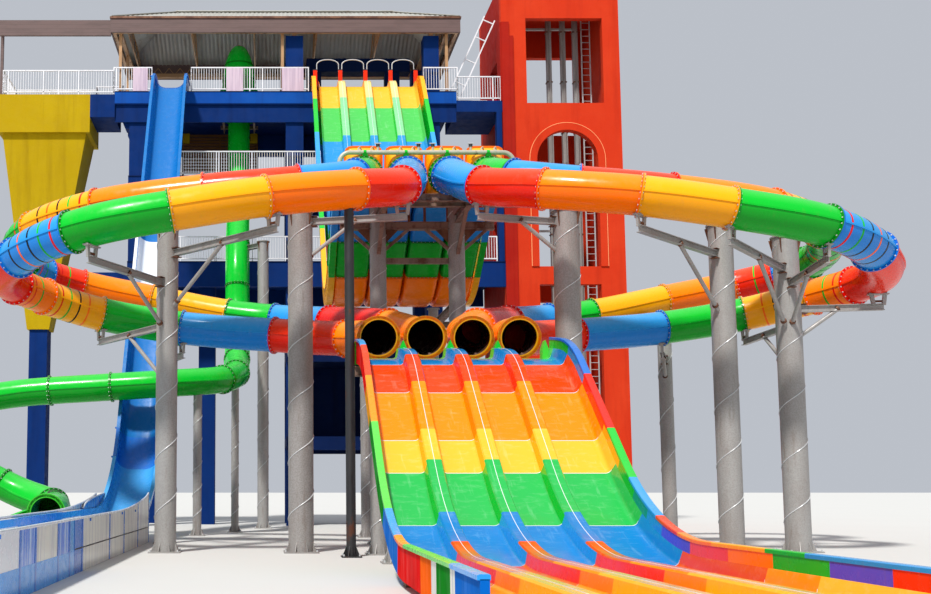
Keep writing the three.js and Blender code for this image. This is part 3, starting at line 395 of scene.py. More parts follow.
# Shapes: faces gathered per paint, in site metres
class Shape:
    """One sub-part: faces sorted by paint; each paint becomes one mesh object."""

    def __init__(self, name, *nodes, smooth=35):
        self.name = name
        self.nodes = nodes
        self.smooth = smooth
        self.batches = {}

    def build(self):
        for paint, (verts, faces) in self.batches.items():
            label = self.name if len(self.batches) == 1 else f"{self.name}_{paint}"
            mesh = bpy.data.meshes.new(label)
            mesh.from_pydata((np.array(verts, float) + np.array(SITE)).tolist(), [], faces)
            mesh.validate()
            skin = bmesh.new()
            skin.from_mesh(mesh)
            bmesh.ops.recalc_face_normals(skin, faces=skin.faces)
            skin.to_mesh(mesh)
            skin.free()
            mesh.shade_smooth()
            mesh.set_sharp_from_angle(angle=radians(self.smooth))
            mesh.materials.append(MATERIAL[paint])
            piece = link(label, mesh)
            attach(piece, "root")
            if self.nodes:
                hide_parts(*self.nodes)

    def loft(self, paint, loops, capped=False, wrap=True, close=False):
        """Loops of equally many points, joined in turn; capped adds a face at each end."""
        verts, faces = self.batches.setdefault(paint, ([], []))
        base, rows, columns = len(verts), len(loops), len(loops[0])
        for i in range(rows if close else rows - 1):
            a, b = base + i * columns, base + (i + 1) % rows * columns
            for k in range(columns if wrap else columns - 1):
                m = (k + 1) % columns
                faces.append((a + k, b + k, b + m, a + m))
        if capped:
            end = base + rows * columns
            faces.append(tuple(range(base, base + columns)))
            faces.append(tuple(reversed(range(end - columns, end))))
        verts.extend(point for loop in loops for point in loop)

    def prism(self, paint, outline, z0, z1):
        """An outline in (x, y), carried from z0 to z1."""
        self.loft(paint, [[(x, y, z) for x, y in outline] for z in (z0, z1)], capped=True)

    def box(self, paint, x0, x1, y0, y1, z0, z1):
        self.prism(paint, rect(x0, x1, y0, y1), z0, z1)

    def post(self, paint, x, y, half_x, half_y, z0, z1):
        self.box(paint, x - half_x, x + half_x, y - half_y, y + half_y, z0, z1)

    def bar(self, paint, start, end, section):
        """A straight bar with its section in (side, up)."""
        a, b = np.array(start, float), np.array(end, float)
        self.loft(paint, [placed(section, p, *cross_frame(b - a)) for p in (a, b)], capped=True)

    def beam(self, paint, start, end, width, height):
        self.bar(paint, start, end, rect(-width / 2, width / 2, -height / 2, height / 2))

    def rod(self, paint, start, end, radius, sides=16):
        self.bar(paint, start, end, round_outline(radius, sides))

    def pole(self, paint, x, y, z0, z1, radius, sides=16):
        self.rod(paint, (x, y, z0), (x, y, z1), radius, sides)

    def hose(self, paint, points, radius, sides=12):
        """A round bar along a list of points."""
        path = np.array(points, float)
        ends = [path[0], *path, path[-1]]
        self.loft(paint, [placed(round_outline(radius, sides), p, *cross_frame(after - before))
                          for before, p, after in zip(ends, path, ends[2:])], capped=True)

    def lathe(self, paint, centre, profile, sides, turn=WHOLE):
        """A profile of (radius, z) turned about the vertical through centre."""
        angles = np.linspace(*turn, sides + 1)
        if turn == WHOLE:
            angles = angles[:-1]
        self.loft(paint, [[(centre[0] + r * cos(t), centre[1] + r * sin(t), z) for t in angles]
                          for r, z in profile], wrap=turn == WHOLE)

    def gusset(self, paint, x, y, angle, outline, half):
        """A flat plate that stands out from a centre line, its outline in (out, z)."""
        c, s = cos(angle), sin(angle)
        self.loft(paint, [[(x + c * r - s * w, y + s * r + c * w, z) for r, z in outline]
                          for w in (half, -half)], capped=True)

    def bolts(self, centre, axis, ring, count):
        """Hexagon heads round an axis."""
        size, tall = 0.018, 0.014
        side, up = cross_frame(axis)
        for t in (2 * pi * (k + 0.5) / count for k in range(count)):
            foot = centre + side * (ring * cos(t)) + up * (ring * sin(t))
            self.rod("bright_steel", foot, foot + axis * tall, size, sides=6)


# Curves
CURVE_POINTS = 1600


class Path:
    """Points in a row, walked by their length."""

    def __init__(self, points):
        self.points = np.array(points)
        steps = np.linalg.norm(np.diff(self.points, axis=0), axis=1)
        self.reach = np.concatenate([[0], np.cumsum(steps)])
        self.length = self.reach[-1]

    def at(self, s):
        return np.array([np.interp(s, self.reach, column) for column in self.points.T])


class Curve(Path):
    """A centripetal Catmull-Rom curve through points in space."""

    def __init__(self, points, first=(1.0, 0, 0)):
        pts = [np.array(p, float) for p in points]
        pts = [2 * pts[0] - pts[1], *pts, 2 * pts[-1] - pts[-2]]
        spans = len(pts) - 3
        per = CURVE_POINTS // spans
        super().__init__([self.span(pts[i:i + 4], k / per) for i in range(spans)
                          for k in range(per)] + [pts[-2]])
        self.first = first

    @staticmethod
    def span(four, t):
        p0, p1, p2, p3 = four
        d0, d1, d2 = [max(np.linalg.norm(b - a) ** 0.5, 1e-4) for a, b in zip(four, four[1:])]
        m1 = ((p1 - p0) / d0 - (p2 - p0) / (d0 + d1) + (p2 - p1) / d1) * d1
        m2 = ((p2 - p1) / d1 - (p3 - p1) / (d1 + d2) + (p3 - p2) / d2) * d1
        return ((2 * t ** 3 - 3 * t ** 2 + 1) * p1 + (t ** 3 - 2 * t ** 2 + t) * m1
                + (-2 * t ** 3 + 3 * t ** 2) * p2 + (t ** 3 - t ** 2) * m2)

    def along(self, s):
        return unit(self.at(s + 0.02) - self.at(s - 0.02))

    def nearest(self, point):
        gap = np.linalg.norm(self.points - np.array(point, float), axis=1)
        return self.reach[int(np.argmin(gap))]

    def frames(self, stops):
        """Places, level side vectors and up vectors at each stop."""
        out = []
        side = np.array(self.first, float)
        for s in stops:
            t = self.along(s)
            level = np.cross(t, (0, 0, 1))
            if np.linalg.norm(level) > 0.12:
                level = unit(level)
                side = -level if out and np.dot(level, side) < 0 else level
            else:
                side = unit(side - t * np.dot(side, t))
            out.append((self.at(s), side, np.cross(side, t)))
        return out


def rounded_path(corners):
    """Corners in (y, z) joined by straight runs, each rounded by its own radius."""
    pieces = 20
    path = []
    points = [np.array(c[:2], float) for c in corners]
    for i, corner in enumerate(points):
        if len(corners[i]) < 3:
            path.append(corner)
            continue
        radius = corners[i][2]
        back, ahead = (unit(points[k] - corner) for k in (i - 1, i + 1))
        half = math.acos(np.dot(back, ahead)) / 2
        centre = corner + unit(back + ahead) * radius / sin(half)
        first = corner + back * radius / math.tan(half) - centre
        turn = -math.copysign(pi - 2 * half, back[0] * ahead[1] - back[1] * ahead[0])
        for t in (turn * k / pieces for k in range(pieces + 1)):
            path.append(centre + (first[0] * cos(t) - first[1] * sin(t),
                                  first[0] * sin(t) + first[1] * cos(t)))
    return path


class Run(Path):
    """A flume's floor line in (y, z); y falls all the way along it."""

    def __init__(self, corners):
        path = np.array(rounded_path(corners))
        steps = np.linalg.norm(np.diff(path, axis=0), axis=1)
        super().__init__(path[np.concatenate([[True], steps > 1e-6])])

    def stop(self, y):
        """How far along the run it is at this y."""
        return float(np.interp(-y, -self.points[:, 0], self.reach))

    def height(self, y):
        return self.at(self.stop(y))[1]

    def normal(self, s):
        dy, dz = unit(self.at(s + 0.05) - self.at(s - 0.05))
        return dz, -dy

    def point(self, s, x, h):
        y, z = self.at(s)
        ny, nz = self.normal(s)
        return (x, y + ny * h, z + nz * h)

    def bands(self, ends, paints):
        """(start, end, paint) of stretches that end at these y."""
        stops = [0.0, *[self.stop(y) for y in ends], self.length]
        return list(zip(stops, stops[1:], paints.split()))


def strip(shape, paint, run, section, s0, s1, closed=False):
    """A section in (x, height), carried along the run; a closed one gets end faces."""
    shape.loft(paint, [[run.point(s, x, h) for x, h in section]
                       for s in stops_between(s0, s1, 0.3)], capped=closed, wrap=closed)


def plinths(shape, run, ys, x0, x1, sink):
    """Concrete blocks that carry a run-out, their tops this far below its floor line."""
    for y in ys:
        shape.box("grey_concrete", x0, x1, y - 0.15, y + 0.15, 0, run.height(y) - sink)


# Racer tubes
TUBE_SIDES = 36


def tube_outline():
    """Points round a tube in (across, up), with a bolted lip at mid height on both sides."""
    rim, edge, lip = radians(2.4), radians(0.5), TUBE_R + 0.026
    marks = []
    for t in (2 * pi * k / TUBE_SIDES for k in range(TUBE_SIDES)):
        if min(t, abs(t - pi), 2 * pi - t) > rim + edge:
            marks.append((t, TUBE_R))
    for middle in (0.0, pi):
        for offset, r in ((-rim - edge, TUBE_R), (-rim, lip), (rim, lip), (rim + edge, TUBE_R)):
            marks.append(((middle + offset) % (2 * pi), r))
    return [(r * cos(t), r * sin(t)) for t, r in sorted(marks)]


TUBE_OUTSIDE = tube_outline()
TUBE_INSIDE = round_outline(TUBE_BORE, TUBE_SIDES)


def hoop(shape, paint, curve, s0, s1, inner, outer):
    """A solid ring round the tube between two stops."""
    a, b = curve.frames([s0, s1])
    shape.loft(paint, [placed(round_outline(radius, 40), *spot) for spot, radius in
                       ((a, inner), (a, outer), (b, outer), (b, inner))], close=True)


BAND_COLOURS = ("deep_red", "green", "black", "deep_orange", "black", "deep_green")
BAND_GAP = 0.34
BAND_WIDTH = 0.05
FLANGE = 0.028
FLANGE_BOLTS = 22
BOLT_RING = 0.505
TUBE_STEP = 0.16


def tube_section(shape, paint, curve, s0, s1, striped=False, bore=None):
    """One bolted section: shell, bore, a flange at each end and, if striped, thin bands."""
    spots = curve.frames(stops_between(s0, s1, TUBE_STEP))
    shape.loft(paint, [placed(TUBE_OUTSIDE, *spot) for spot in spots])
    shape.loft(bore or paint, [placed(TUBE_INSIDE, *spot) for spot in spots[::-1]])
    rim = f"deep_{paint}" if f"deep_{paint}" in MATERIAL else paint
    after, before = s0 + FLANGE, s1 - FLANGE
    for a, b, bolted, face in ((s0, after, after, 1), (before, s1, before, -1)):
        hoop(shape, rim, curve, a, b, TUBE_R - 0.01, FLANGE_R)
        shape.bolts(curve.at(bolted), face * curve.along(a), BOLT_RING, FLANGE_BOLTS)
    if striped:
        for k in range(int((s1 - s0 - 0.3) / BAND_GAP)):
            s = s0 + 0.25 + BAND_GAP * k
            hoop(shape, BAND_COLOURS[k % len(BAND_COLOURS)], curve, s, s + BAND_WIDTH,
                 TUBE_R - 0.01, TUBE_R + 0.004)


# Right-hand centre lines; the left-hand ones mirror them
FRONT_LOOP = [
    (0.575, -16.88, 10.385), (0.6, -17.5, 10.16), (1.01, -19.4, 9.3), (2.28, -20.6, 8.86),
    (4.31, -21.4, 8.46), (6.29, -21.7, 8.08), (8.52, -21.6, 7.68), (10.28, -20.5, 7.35),
    (11.23, -19.0, 7.05), (10.6, -17.1, 6.88), (9.23, -15.9, 6.6), (6.92, -15.7, 6.23),
    (4.25, -16.4, 5.91), (2.7, -17.25, 5.7), (1.85, -18.4, 5.53), (1.725, -19.3, 5.43),
    (1.725, -20.1, 5.29),
]
REAR_LOOP = [
    (1.725, -16.88, 10.385), (1.8, -17.4, 10.21), (2.15, -18.3, 9.85), (3.64, -18.9, 9.5),
    (6.08, -18.8, 9.31), (8.95, -18.3, 9.05), (10.9, -17.1, 8.78), (11.7, -15.7, 8.48),
    (11.5, -14.3, 8.22), (10.3, -13.2, 7.98), (8.1, -13.0, 7.55), (5.7, -13.3, 7.03),
    (4.2, -13.7, 6.8), (2.95, -14.7, 6.56), (2.05, -16.3, 6.25), (1.2, -17.6, 5.95),
    (0.66, -18.6, 5.6), (0.575, -19.4, 5.41), (0.575, -20.1, 5.29),
]
# Where each section ends, as a point of the loop or a place near it, and its paint
FRONT_SECTIONS = [
    ((0.60, -17.35, 10.2), "green"), (2, "blue"), (3, "red"), (4, "orange"), (5, "yellow"),
    (6, "green"), (7, "blue striped"), ((11.0, -18.2, 6.95), "red"), (9, "orange striped"),
    (10, "yellow striped"), (11, "green"), (12, "blue"), ((2.3, -17.6, 5.63), "red"),
    (-1, "orange"),
]
REAR_SECTIONS = [
    ((2.05, -18.3, 9.88), "green"), (3, "blue"), (4, "red"), (5, "orange"),
    (6, "yellow striped"), ((11.6, -14.9, 8.3), "green striped"),
    ((11.2, -14.0, 8.15), "blue striped"), (9, "red striped"), (10, "orange"), (11, "yellow"),
    ((4.2, -13.6, 6.8), "green"), ((2.6, -15.2, 6.45), "blue"), (15, "deep_red"),
    (-1, "orange"),
]
# On the outward run of the left front loop the sections are this share longer
LONGER = {"lane": "lane_2", "share": 0.1, "from_x": 2.28, "above": 7.3}


def racer_tube(lane, loop, sections, side):
    points = loop if side > 0 else mirrored(loop)
    curve = Curve(points)
    shape = Shape(lane, *[f"{lane}_{part}_tube" for part in ("outward", "return", "mouth")])
    start = 0.0
    for place, look in sections:
        x, y, z = loop[place] if isinstance(place, int) else place
        if lane == LONGER["lane"] and z > LONGER["above"]:
            x += LONGER["share"] * max(0.0, x - LONGER["from_x"])
        end = curve.nearest((side * x, y, z))
        paint, *striped = look.split()
        # The last section's bore in dark red-brown: painted shade inside the mouth.
        tube_section(shape, paint, curve, start, end, striped,
                     bore="shaded_bore_red" if end == curve.length else None)
        start = end
    hoop(shape, "deep_yellow", curve, end - 0.06, end, TUBE_BORE - 0.005, 0.535)
    hoop(shape, "deep_red", curve, end - 0.15, end - 0.10, TUBE_R, 0.53)
    hood(shape, points[0][0], curve)
    shape.build()


# Flumes: each lane is a pan between dividers, the paints change at the y in the lists
LAUNCH = Run([
    (1.0, DECK_TOP + 0.1603), (-0.38, DECK_TOP + 0.1603, 0.7), (-9.9, 7.0, 2.5),
    (-14.5, 10.45, 1.5), (-16.28, 10.065),
])
LAUNCH_LOW = -0.16
LAUNCH_ENDS = [-1.52, -3.05, -6.12, -6.86, -8.08, -12.02, -13.2, -14.6]
LAUNCH_FLOOR = "yellow lime sky sky yellow orange green blue red"
LAUNCH_WALL = "yellow green sky green yellow yellow green blue red"
LAUNCH_UNDER = "yellow green blue green orange orange green blue red"
LAUNCH_TOPS = ([-1.25, -3.0, -6.12, -8.08, -12.02, -13.2, -14.6],
               "cream mint sky yellow orange green blue red")
FINAL = Run([(-20.2, 4.76), (-21.7, 4.5, 2.5), (-26.43, 0.25, 6.0), (-34.5, 0.25)])
FINAL_X0 = -2.3
FINAL_X1 = 2.52
FINAL_LOW = -0.12
FINAL_FLOOR = ([-20.57, -21.63, -22.61, -23.84, -24.6, -25.99, -27.85, -30.76, -32.1],
               "lime blue red orange yellow green blue red orange yellow")
FINAL_TOPS = ([-20.45, -21.62, -22.54, -23.78, -24.5, -25.93, -27.2, -29.4, -31.5],
              "green blue red orange yellow green blue red orange yellow")
RIGHT_FACES = ([-20.57, -21.63, -22.61, -23.84, -24.7, -25.5, -26.2, -26.9, -28.15, -29.55,
                -30.9, -32.3, -33.56],
               "lime green blue red yellow green teal blue violet pink orange green violet red")
RIGHT_CAPS = ([-22.6, -24.0, -25.2, -26.6, -27.6, -29.0, -30.7, -31.75],
              "deep_blue deep_red green blue red orange yellow green blue")
LEFT_FACES = ([-21.63, -22.61, -23.4, -25.8, -27.9, -29.3, -30.45, -31.4, -31.8, -32.8, -33.1,
               -33.9],
              "panel_red panel_red panel_yellow panel_green panel_blue panel_red panel_red "
              "panel_orange milk panel_green milk panel_blue panel_blue")
LEFT_CAPS = ([-21.6, -22.6, -23.8, -26.2, -27.6, -28.8, -32.9],
             "blue red orange lime blue orange lime sky")
DIVIDER_TOP = 0.26
RIB_HALF = 0.52


def pan_section(x0, x1):
    """One lane's pan from divider to divider: the wet face in (x, height)."""
    r = 0.10
    return [(x0, DIVIDER_TOP), *arc(x0 + 0.05 + r, r, r, 180, 270),
            *arc(x1 - 0.05 - r, r, r, 270, 360), (x1, DIVIDER_TOP)]


def under_pan(x0, x1, low):
    """The same pan from below, with rounded lower corners."""
    r = 0.13
    return [(x1, 0.18), *arc(x1 - 0.02 - r, low + r, r, 0, -90),
            *arc(x0 + 0.02 + r, low + r, r, 270, 180), (x0, 0.18)]


def joint_rib(shape, run, s, paint, low):
    """A bolted flange across the underside where two sections meet."""
    for x in LANES:
        section = rect(x - RIB_HALF, x + RIB_HALF, low - 0.07, low + 0.02)
        strip(shape, paint, run, section, max(s - 0.02, 0), min(s + 0.02, run.length), True)
        for across in np.linspace(x - 0.45, x + 0.45, 8):
            a, b = (run.point(s + reach, across, low - 0.035) for reach in (-0.038, 0.038))
            shape.rod("bright_steel", a, b, 0.014, sides=6)


def ridge(shape, run, x, tops, sides):
    """A divider: pale wet top with a white line along it, sides in the floor's colours."""
    top, foot, high, line = 0.145, 0.20, DIVIDER_TOP, 0.005
    section = [(x - foot, -0.02), (x - top - 0.015, high - 0.03), (x - top + 0.01, high),
               (x + top - 0.01, high), (x + top + 0.015, high - 0.03), (x + foot, -0.02)]
    for a, b, paint in run.bands(*sides):
        strip(shape, paint, run, section[:2], a, b)
        strip(shape, paint, run, section[4:], a, b)
    for a, b, paint in run.bands(*tops):
        strip(shape, f"wet_{paint}", run, section[1:5], a, b)
        strip(shape, "white", run, [(x - line, high - 0.004), (x - line, high + 0.006),
                                    (x + line, high + 0.006), (x + line, high - 0.004)], a, b)


def launch_flume():
    shape = Shape("launch_flume", "launch_flume")
    wall_top, wall_in = 0.48, FLUME_HALF - 0.15
    for (a, b, floor), wall, under in zip(LAUNCH.bands(LAUNCH_ENDS, LAUNCH_FLOOR),
                                          LAUNCH_WALL.split(), LAUNCH_UNDER.split()):
        for x in LANES:
            half, skirt = LANE / 2 - 0.12, LANE / 2 - 0.02
            strip(shape, f"wet_{floor}", LAUNCH, pan_section(x - half, x + half), a, b)
            strip(shape, under, LAUNCH, under_pan(x - skirt, x + skirt, LAUNCH_LOW), a, b)
        for side in (-1, 1):
            section = [(FLUME_HALF, LAUNCH_LOW), (FLUME_HALF, wall_top - 0.06),
                       (FLUME_HALF + 0.03, wall_top - 0.05), (FLUME_HALF + 0.03, wall_top),
                       (wall_in, wall_top), (wall_in, -0.02), (FLUME_HALF - 0.2, LAUNCH_LOW)]
            section = [(side * x, h) for x, h in section][::-side]
            strip(shape, wall, LAUNCH, section, a, b, True)
        joint_rib(shape, LAUNCH, b, f"deep_{under}", LAUNCH_LOW)
    for x in RIDGES:
        ridge(shape, LAUNCH, x, LAUNCH_TOPS, (LAUNCH_ENDS, LAUNCH_UNDER))
    start_gate(shape)
    shape.build()


def start_gate(shape):
    """Bright grab hoops over the lanes' starts, on short red posts that stand on the dividers."""
    y, half = 0.35, 0.50
    foot = DECK_TOP + 0.16 + DIVIDER_TOP - 0.02
    for x in (-2 * LANE, *RIDGES, 2 * LANE):
        shape.post("red", x, y, 0.09, 0.06, foot - 0.2, foot + 0.72)
        shape.post("dark_steel", x, y, 0.1, 0.075, foot + 0.72, foot + 0.75)
    for x in LANES:
        points = [(x - half, y, foot + 0.66), (x - half, y, foot + 1.0)]
        points += [(x + half * cos(t), y, foot + 1.0 + 0.24 * sin(t))
                   for t in np.linspace(pi, 0, 13)]
        shape.hose("bright_steel", points + [(x + half, y, foot + 0.66)], 0.024)


def panel_wall(shape, faces, caps, outer, inner, top):
    """A side wall of coloured panels under a rolled cap of other colours."""
    lip = math.copysign(0.03, outer - inner)
    panel = [(outer, FINAL_LOW), (outer, top - 0.05), (inner, top - 0.05), (inner, -0.02),
             (inner, FINAL_LOW)]
    cap = [(outer + lip, top - 0.06), (outer + lip, top - 0.01), (outer, top),
           (inner, top), (inner - lip / 3, top - 0.01), (inner - lip / 3, top - 0.06)]
    for section, paints in ((panel, faces), (cap, caps)):
        for a, b, paint in FINAL.bands(*paints):
            strip(shape, paint, FINAL, section, a, b, True)


def final_flume():
    shape = Shape("final_flume", "final_flume", "final_run_out")
    lines = [FINAL_X0 - 0.02, *RIDGES, FINAL_X1]
    for a, b, paint in FINAL.bands(*FINAL_FLOOR):
        for x0, x1 in zip(lines, lines[1:]):
            pan = pan_section(x0 + 0.12, x1 - 0.12)
            strip(shape, f"wet_{paint}", FINAL, pan, a, b)
            strip(shape, paint, FINAL, under_pan(x0 + 0.03, x1 - 0.03, FINAL_LOW), a, b)
            strip(shape, "white", FINAL, [(x, h + 0.003) for x, h in pan[1:-1]], b - 0.014, b)
        joint_rib(shape, FINAL, b, f"deep_{paint}", FINAL_LOW)
    for x in RIDGES:
        ridge(shape, FINAL, x, FINAL_TOPS, FINAL_FLOOR)
    panel_wall(shape, LEFT_FACES, LEFT_CAPS, FINAL_X0, FINAL_X0 + 0.10, 0.48)
    panel_wall(shape, RIGHT_FACES, RIGHT_CAPS, FINAL_X1, FINAL_X1 - 0.12, 0.52)
    seam = FINAL_X1 - 0.124
    strip(shape, "black", FINAL, [(seam, 0.0), (seam, 0.045)], 0, FINAL.length)
    plinths(shape, FINAL, (-28.0, -31.1, -34.2), FINAL_X0 + 0.1, FINAL_X1 - 0.1, 0.06)
    shape.build()


def mouth_saddles():
    """Humps that close the flume's head between the four tube mouths."""
    shape = Shape("mouth_saddles")
    for x in (-2 * LANE, *RIDGES, 2 * LANE):
        wide = 0.10 if abs(x) < 2 else 0.08
        profile = [(-1, 4.62), (-0.9, 5.0), (0, 5.2), (0.9, 5.0), (1, 4.62)]
        loops = [[(x + wide * u, y, z) for u, z in profile] for y in (-20.05, -20.3)]
        shape.loft("green" if abs(x) < 1.2 else "lime", loops, capped=True, wrap=False)
    shape.build()


# Free-fall chute
CHUTE = Run([(1.0, DECK_TOP + 0.1003), (-0.45, DECK_TOP + 0.1003, 0.7), (-11.12, 0.45, 6.0),
             (-31.0, 0.35)])
CHUTE_HALF = 0.75
CHUTE_HIGH = 0.62
CHUTE_ROUND = 0.46
CHUTE_BANDS = ([-0.55, -1.04, -5.06, -6.4, -9.5, -10.35, -17.0, -19.5, -24.0],
               "deep_blue azure azure white azure deep_blue blue white blue white")
SKIRT_EDGES = [-13.9, -16.4, -19.1, -21.4, -24.8, -25.6, -26.1, -27.1, -28.8, -29.8, -31.0]
SKIRT_PAINT = "milk milk milk milk deep_blue blue wash milk wash white"


def trough_section(x, half, high, skin, radius):
    """A round-bottomed trough, inner face first and then the outer face."""
    flat, r = half - skin - radius, radius + skin * 0.9
    out = half + 0.03
    return [(x - half + skin, high), *arc(x - flat, radius, radius, 180, 270, 6),
            *arc(x + flat, radius, radius, 270, 360, 6), (x + half - skin, high),
            (x + out, high), (x + out, high - 0.06), (x + half, high - 0.06),
            *arc(x + half - r, r - skin, r, 0, -90, 6),
            *arc(x - half + r, r - skin, r, 270, 180, 6),
            (x - half, high - 0.06), (x - out, high - 0.06), (x - out, high)]


def trough_rim(x, half, high, radius):
    """The flange where two lengths of trough meet: as the trough, but proud of it outside."""
    return [(u, h - 0.03 if h < 0.1 else h)
            for u, h in trough_section(x, half + 0.05, high, 0.05, radius)]


def free_fall_chute():
    shape = Shape("free_fall_chute", "free_fall_chute")
    section = trough_section(CHUTE_X, CHUTE_HALF, CHUTE_HIGH, 0.09, CHUTE_ROUND)
    rim = trough_rim(CHUTE_X, CHUTE_HALF, CHUTE_HIGH, CHUTE_ROUND)
    inset = CHUTE_HALF - 0.093
    for a, b, paint in CHUTE.bands(*CHUTE_BANDS):
        strip(shape, paint, CHUTE, section, a, b, True)
        for x in (CHUTE_X - inset, CHUTE_X + inset):
            strip(shape, "sky", CHUTE, [(x, CHUTE_HIGH - 0.01), (x, CHUTE_HIGH - 0.16)], a, b)
        strip(shape, "deep_blue", CHUTE, rim, b - 0.035, b, True)
    plinths(shape, CHUTE, (-15.0, -20.2, -25.4, -30.6), CHUTE_X - 0.6, CHUTE_X + 0.6, 0.05)
    splash_panels(shape)
    shape.build()


def upright(shape, paint, x, thick, ys, low, tops):
    """A standing panel in the (y, z) plane with a curved top edge."""
    near, far = x - thick / 2, x + thick / 2
    shape.loft(paint, [[(near, y, low), (near, y, top), (far, y, top), (far, y, low)]
                       for y, top in zip(ys, tops)], capped=True)


def rim_height(y):
    """The run-out's wall sweeps up where it meets the bend."""
    rise = max(0.0, 1 - (SKIRT_EDGES[0] - y) / 6.5)
    return CHUTE.height(y) + CHUTE_HIGH + 0.02 + 0.34 * rise ** 2


def splash_panels(shape):
    """Skirts down to the ground on both sides of the run-out, and a fin at the bend."""
    ledge, ledge_from = 0.44, -26
    for side in (-1, 1):
        x = CHUTE_X + side * (CHUTE_HALF + 0.045)
        for y0, y1, paint in zip(SKIRT_EDGES, SKIRT_EDGES[1:], SKIRT_PAINT.split()):
            ys = np.linspace(y0, y1 + 0.02, 7)
            base = 0.0 if y1 > ledge_from else ledge
            upright(shape, paint, x, 0.02, ys, base, [rim_height(y) for y in ys])
            if base:
                upright(shape, "sky", x, 0.03, ys, 0.0, [base] * 7)
            upright(shape, "deep_blue", x, 0.035, [y0 + 0.05, y0 - 0.05], 0.0,
                    [rim_height(y0) + 0.01] * 2)
        cap = [(x, y, rim_height(y) + 0.01)
               for y in np.linspace(SKIRT_EDGES[0], SKIRT_EDGES[-1], 40)]
        shape.hose("white", cap, 0.028, sides=8)
        rail = [(x + side * 0.01, y, 0.46) for y in (SKIRT_EDGES[0], -25.6)]
        shape.hose("dark_steel", rail, 0.014, sides=6)
    x = CHUTE_X - CHUTE_HALF
    ys = np.linspace(-12.6, -16.3, 12)
    rim = CHUTE.height(-14.5) + CHUTE_HIGH
    tops = [rim + 0.42 * math.sqrt(1 - k / 11) for k in range(12)]
    upright(shape, "wash", x, 0.03, ys, rim - 0.25, tops)
    shape.hose("white", [(x, y, z) for y, z in zip(ys, tops)], 0.03, sides=8)


# Hoods at the start of the tubes
HOOD_HALF = 0.52
HOOD_TOP = 1.26
HOOD_SKIN = 0.035
HOOD_SIDES = 48
HOOD_POWER = 7


def hood_loop(grow, sink):
    """Points of a tall rounded mouth in (across, height above the floor)."""
    low, high = LAUNCH_LOW - sink, HOOD_TOP + grow
    a, b = HOOD_HALF + grow, (high - low) / 2
    out = []
    for t in (2 * pi * k / HOOD_SIDES for k in range(HOOD_SIDES)):
        r = (abs(cos(t) / a) ** HOOD_POWER + abs(sin(t) / b) ** HOOD_POWER) ** (-1 / HOOD_POWER)
        out.append((r * cos(t), (low + high) / 2 + r * sin(t)))
    return out


def hood(shape, x, curve):
    """The funnel from the flume's end down to the round tube, with a bolted rim."""
    start, _, up = curve.frames([0.0])[0]
    y, z = LAUNCH.at(LAUNCH.length)
    ny, nz = LAUNCH.normal(LAUNCH.length)

    def beyond(u, h, ahead):
        """A point at the flume's end: across, above its floor and ahead of it."""
        return np.array((x + u, y + ny * h - nz * ahead, z + nz * h + ny * ahead))

    def ring_at(t, grow):
        share = (t + t * t * (3 - 2 * t)) / 2
        circle = TUBE_R + 0.004 + grow
        ring = []
        for k, (u, h) in enumerate(hood_loop(grow, grow)):
            turn = 2 * pi * k / HOOD_SIDES
            last = start + (circle * cos(turn), 0, 0) + up * circle * sin(turn)
            ring.append(beyond(u, h, 0.01) * (1 - share) + last * share)
        return ring

    steps = np.linspace(0, 1, 9)
    shape.loft("yellow", [ring_at(t, 0.0) for t in steps])
    shape.loft("yellow", [ring_at(t, -HOOD_SKIN) for t in steps[::-1]])
    loops = [[beyond(u, h, ahead + 0.004) for u, h in hood_loop(grow, min(grow, 0))]
             for grow, ahead in ((-HOOD_SKIN, 0.0), (0.034, 0.0), (0.034, 0.05),
                                 (-HOOD_SKIN, 0.05))]
    shape.loft("orange", loops, close=True)


# Water pipe over the tubes
PIPE_Y = -17.0
PIPE_Z = 10.99
PIPE_HALF = 2.44
PIPE_BEND = 0.30


def water_pipe():
    shape = Shape("water_pipe", "water_pipe")
    foot = 9.76

    def at(x, up=0.0, back=0.0):
        return (x, PIPE_Y + back, PIPE_Z + up)

    rise = [(-PIPE_HALF, PIPE_Y, z) for z in (foot, foot + 0.5, PIPE_Z - PIPE_BEND)]
    rise += [at(-PIPE_HALF + PIPE_BEND * (1 - cos(t)), PIPE_BEND * (sin(t) - 1))
             for t in np.linspace(0.2, pi / 2, 7)]
    points = rise + [at(-1.0), at(1.0)] + mirrored(rise)[::-1]
    shape.hose("pipe_steel", points, 0.066, sides=24)
    for x in (-PIPE_HALF, PIPE_HALF):
        for z, radius in ((foot, 0.12), (10.25, 0.105), (10.30, 0.105)):
            shape.pole("pipe_steel", x, PIPE_Y, z, z + 0.03, radius, sides=24)
    for x in (-1.9, -0.85, 0.85, 1.9):
        shape.rod("pipe_steel", at(x), at(x + 0.05), 0.084, sides=24)
    for x in LANES:
        shape.post("deep_green", x, PIPE_Y, 0.07, 0.085, PIPE_Z - 0.14, PIPE_Z - 0.04)
        shape.rod("green", at(x - 0.04), at(x + 0.04), 0.076, sides=24)
    for x in (-1.36, -0.22, 0.18, 1.24):
        shape.rod("pipe_steel", at(x), at(x, 0.17), 0.035)
        shape.rod("dark_steel", at(x, 0.17), at(x, 0.24), 0.055)
        shape.rod("bright_steel", at(x - 0.09, 0.26), at(x + 0.09, 0.26), 0.016)
    for lane in LANES:
        for x in (lane - 0.18, lane + 0.18):
            points = [at(x), at(x, 0.13, 0.02), at(x + 0.05, 0.19, 0.10), at(x + 0.10, 0.15, 0.2)]
            shape.hose("pipe_steel", points, 0.022, sides=10)
    shape.build()


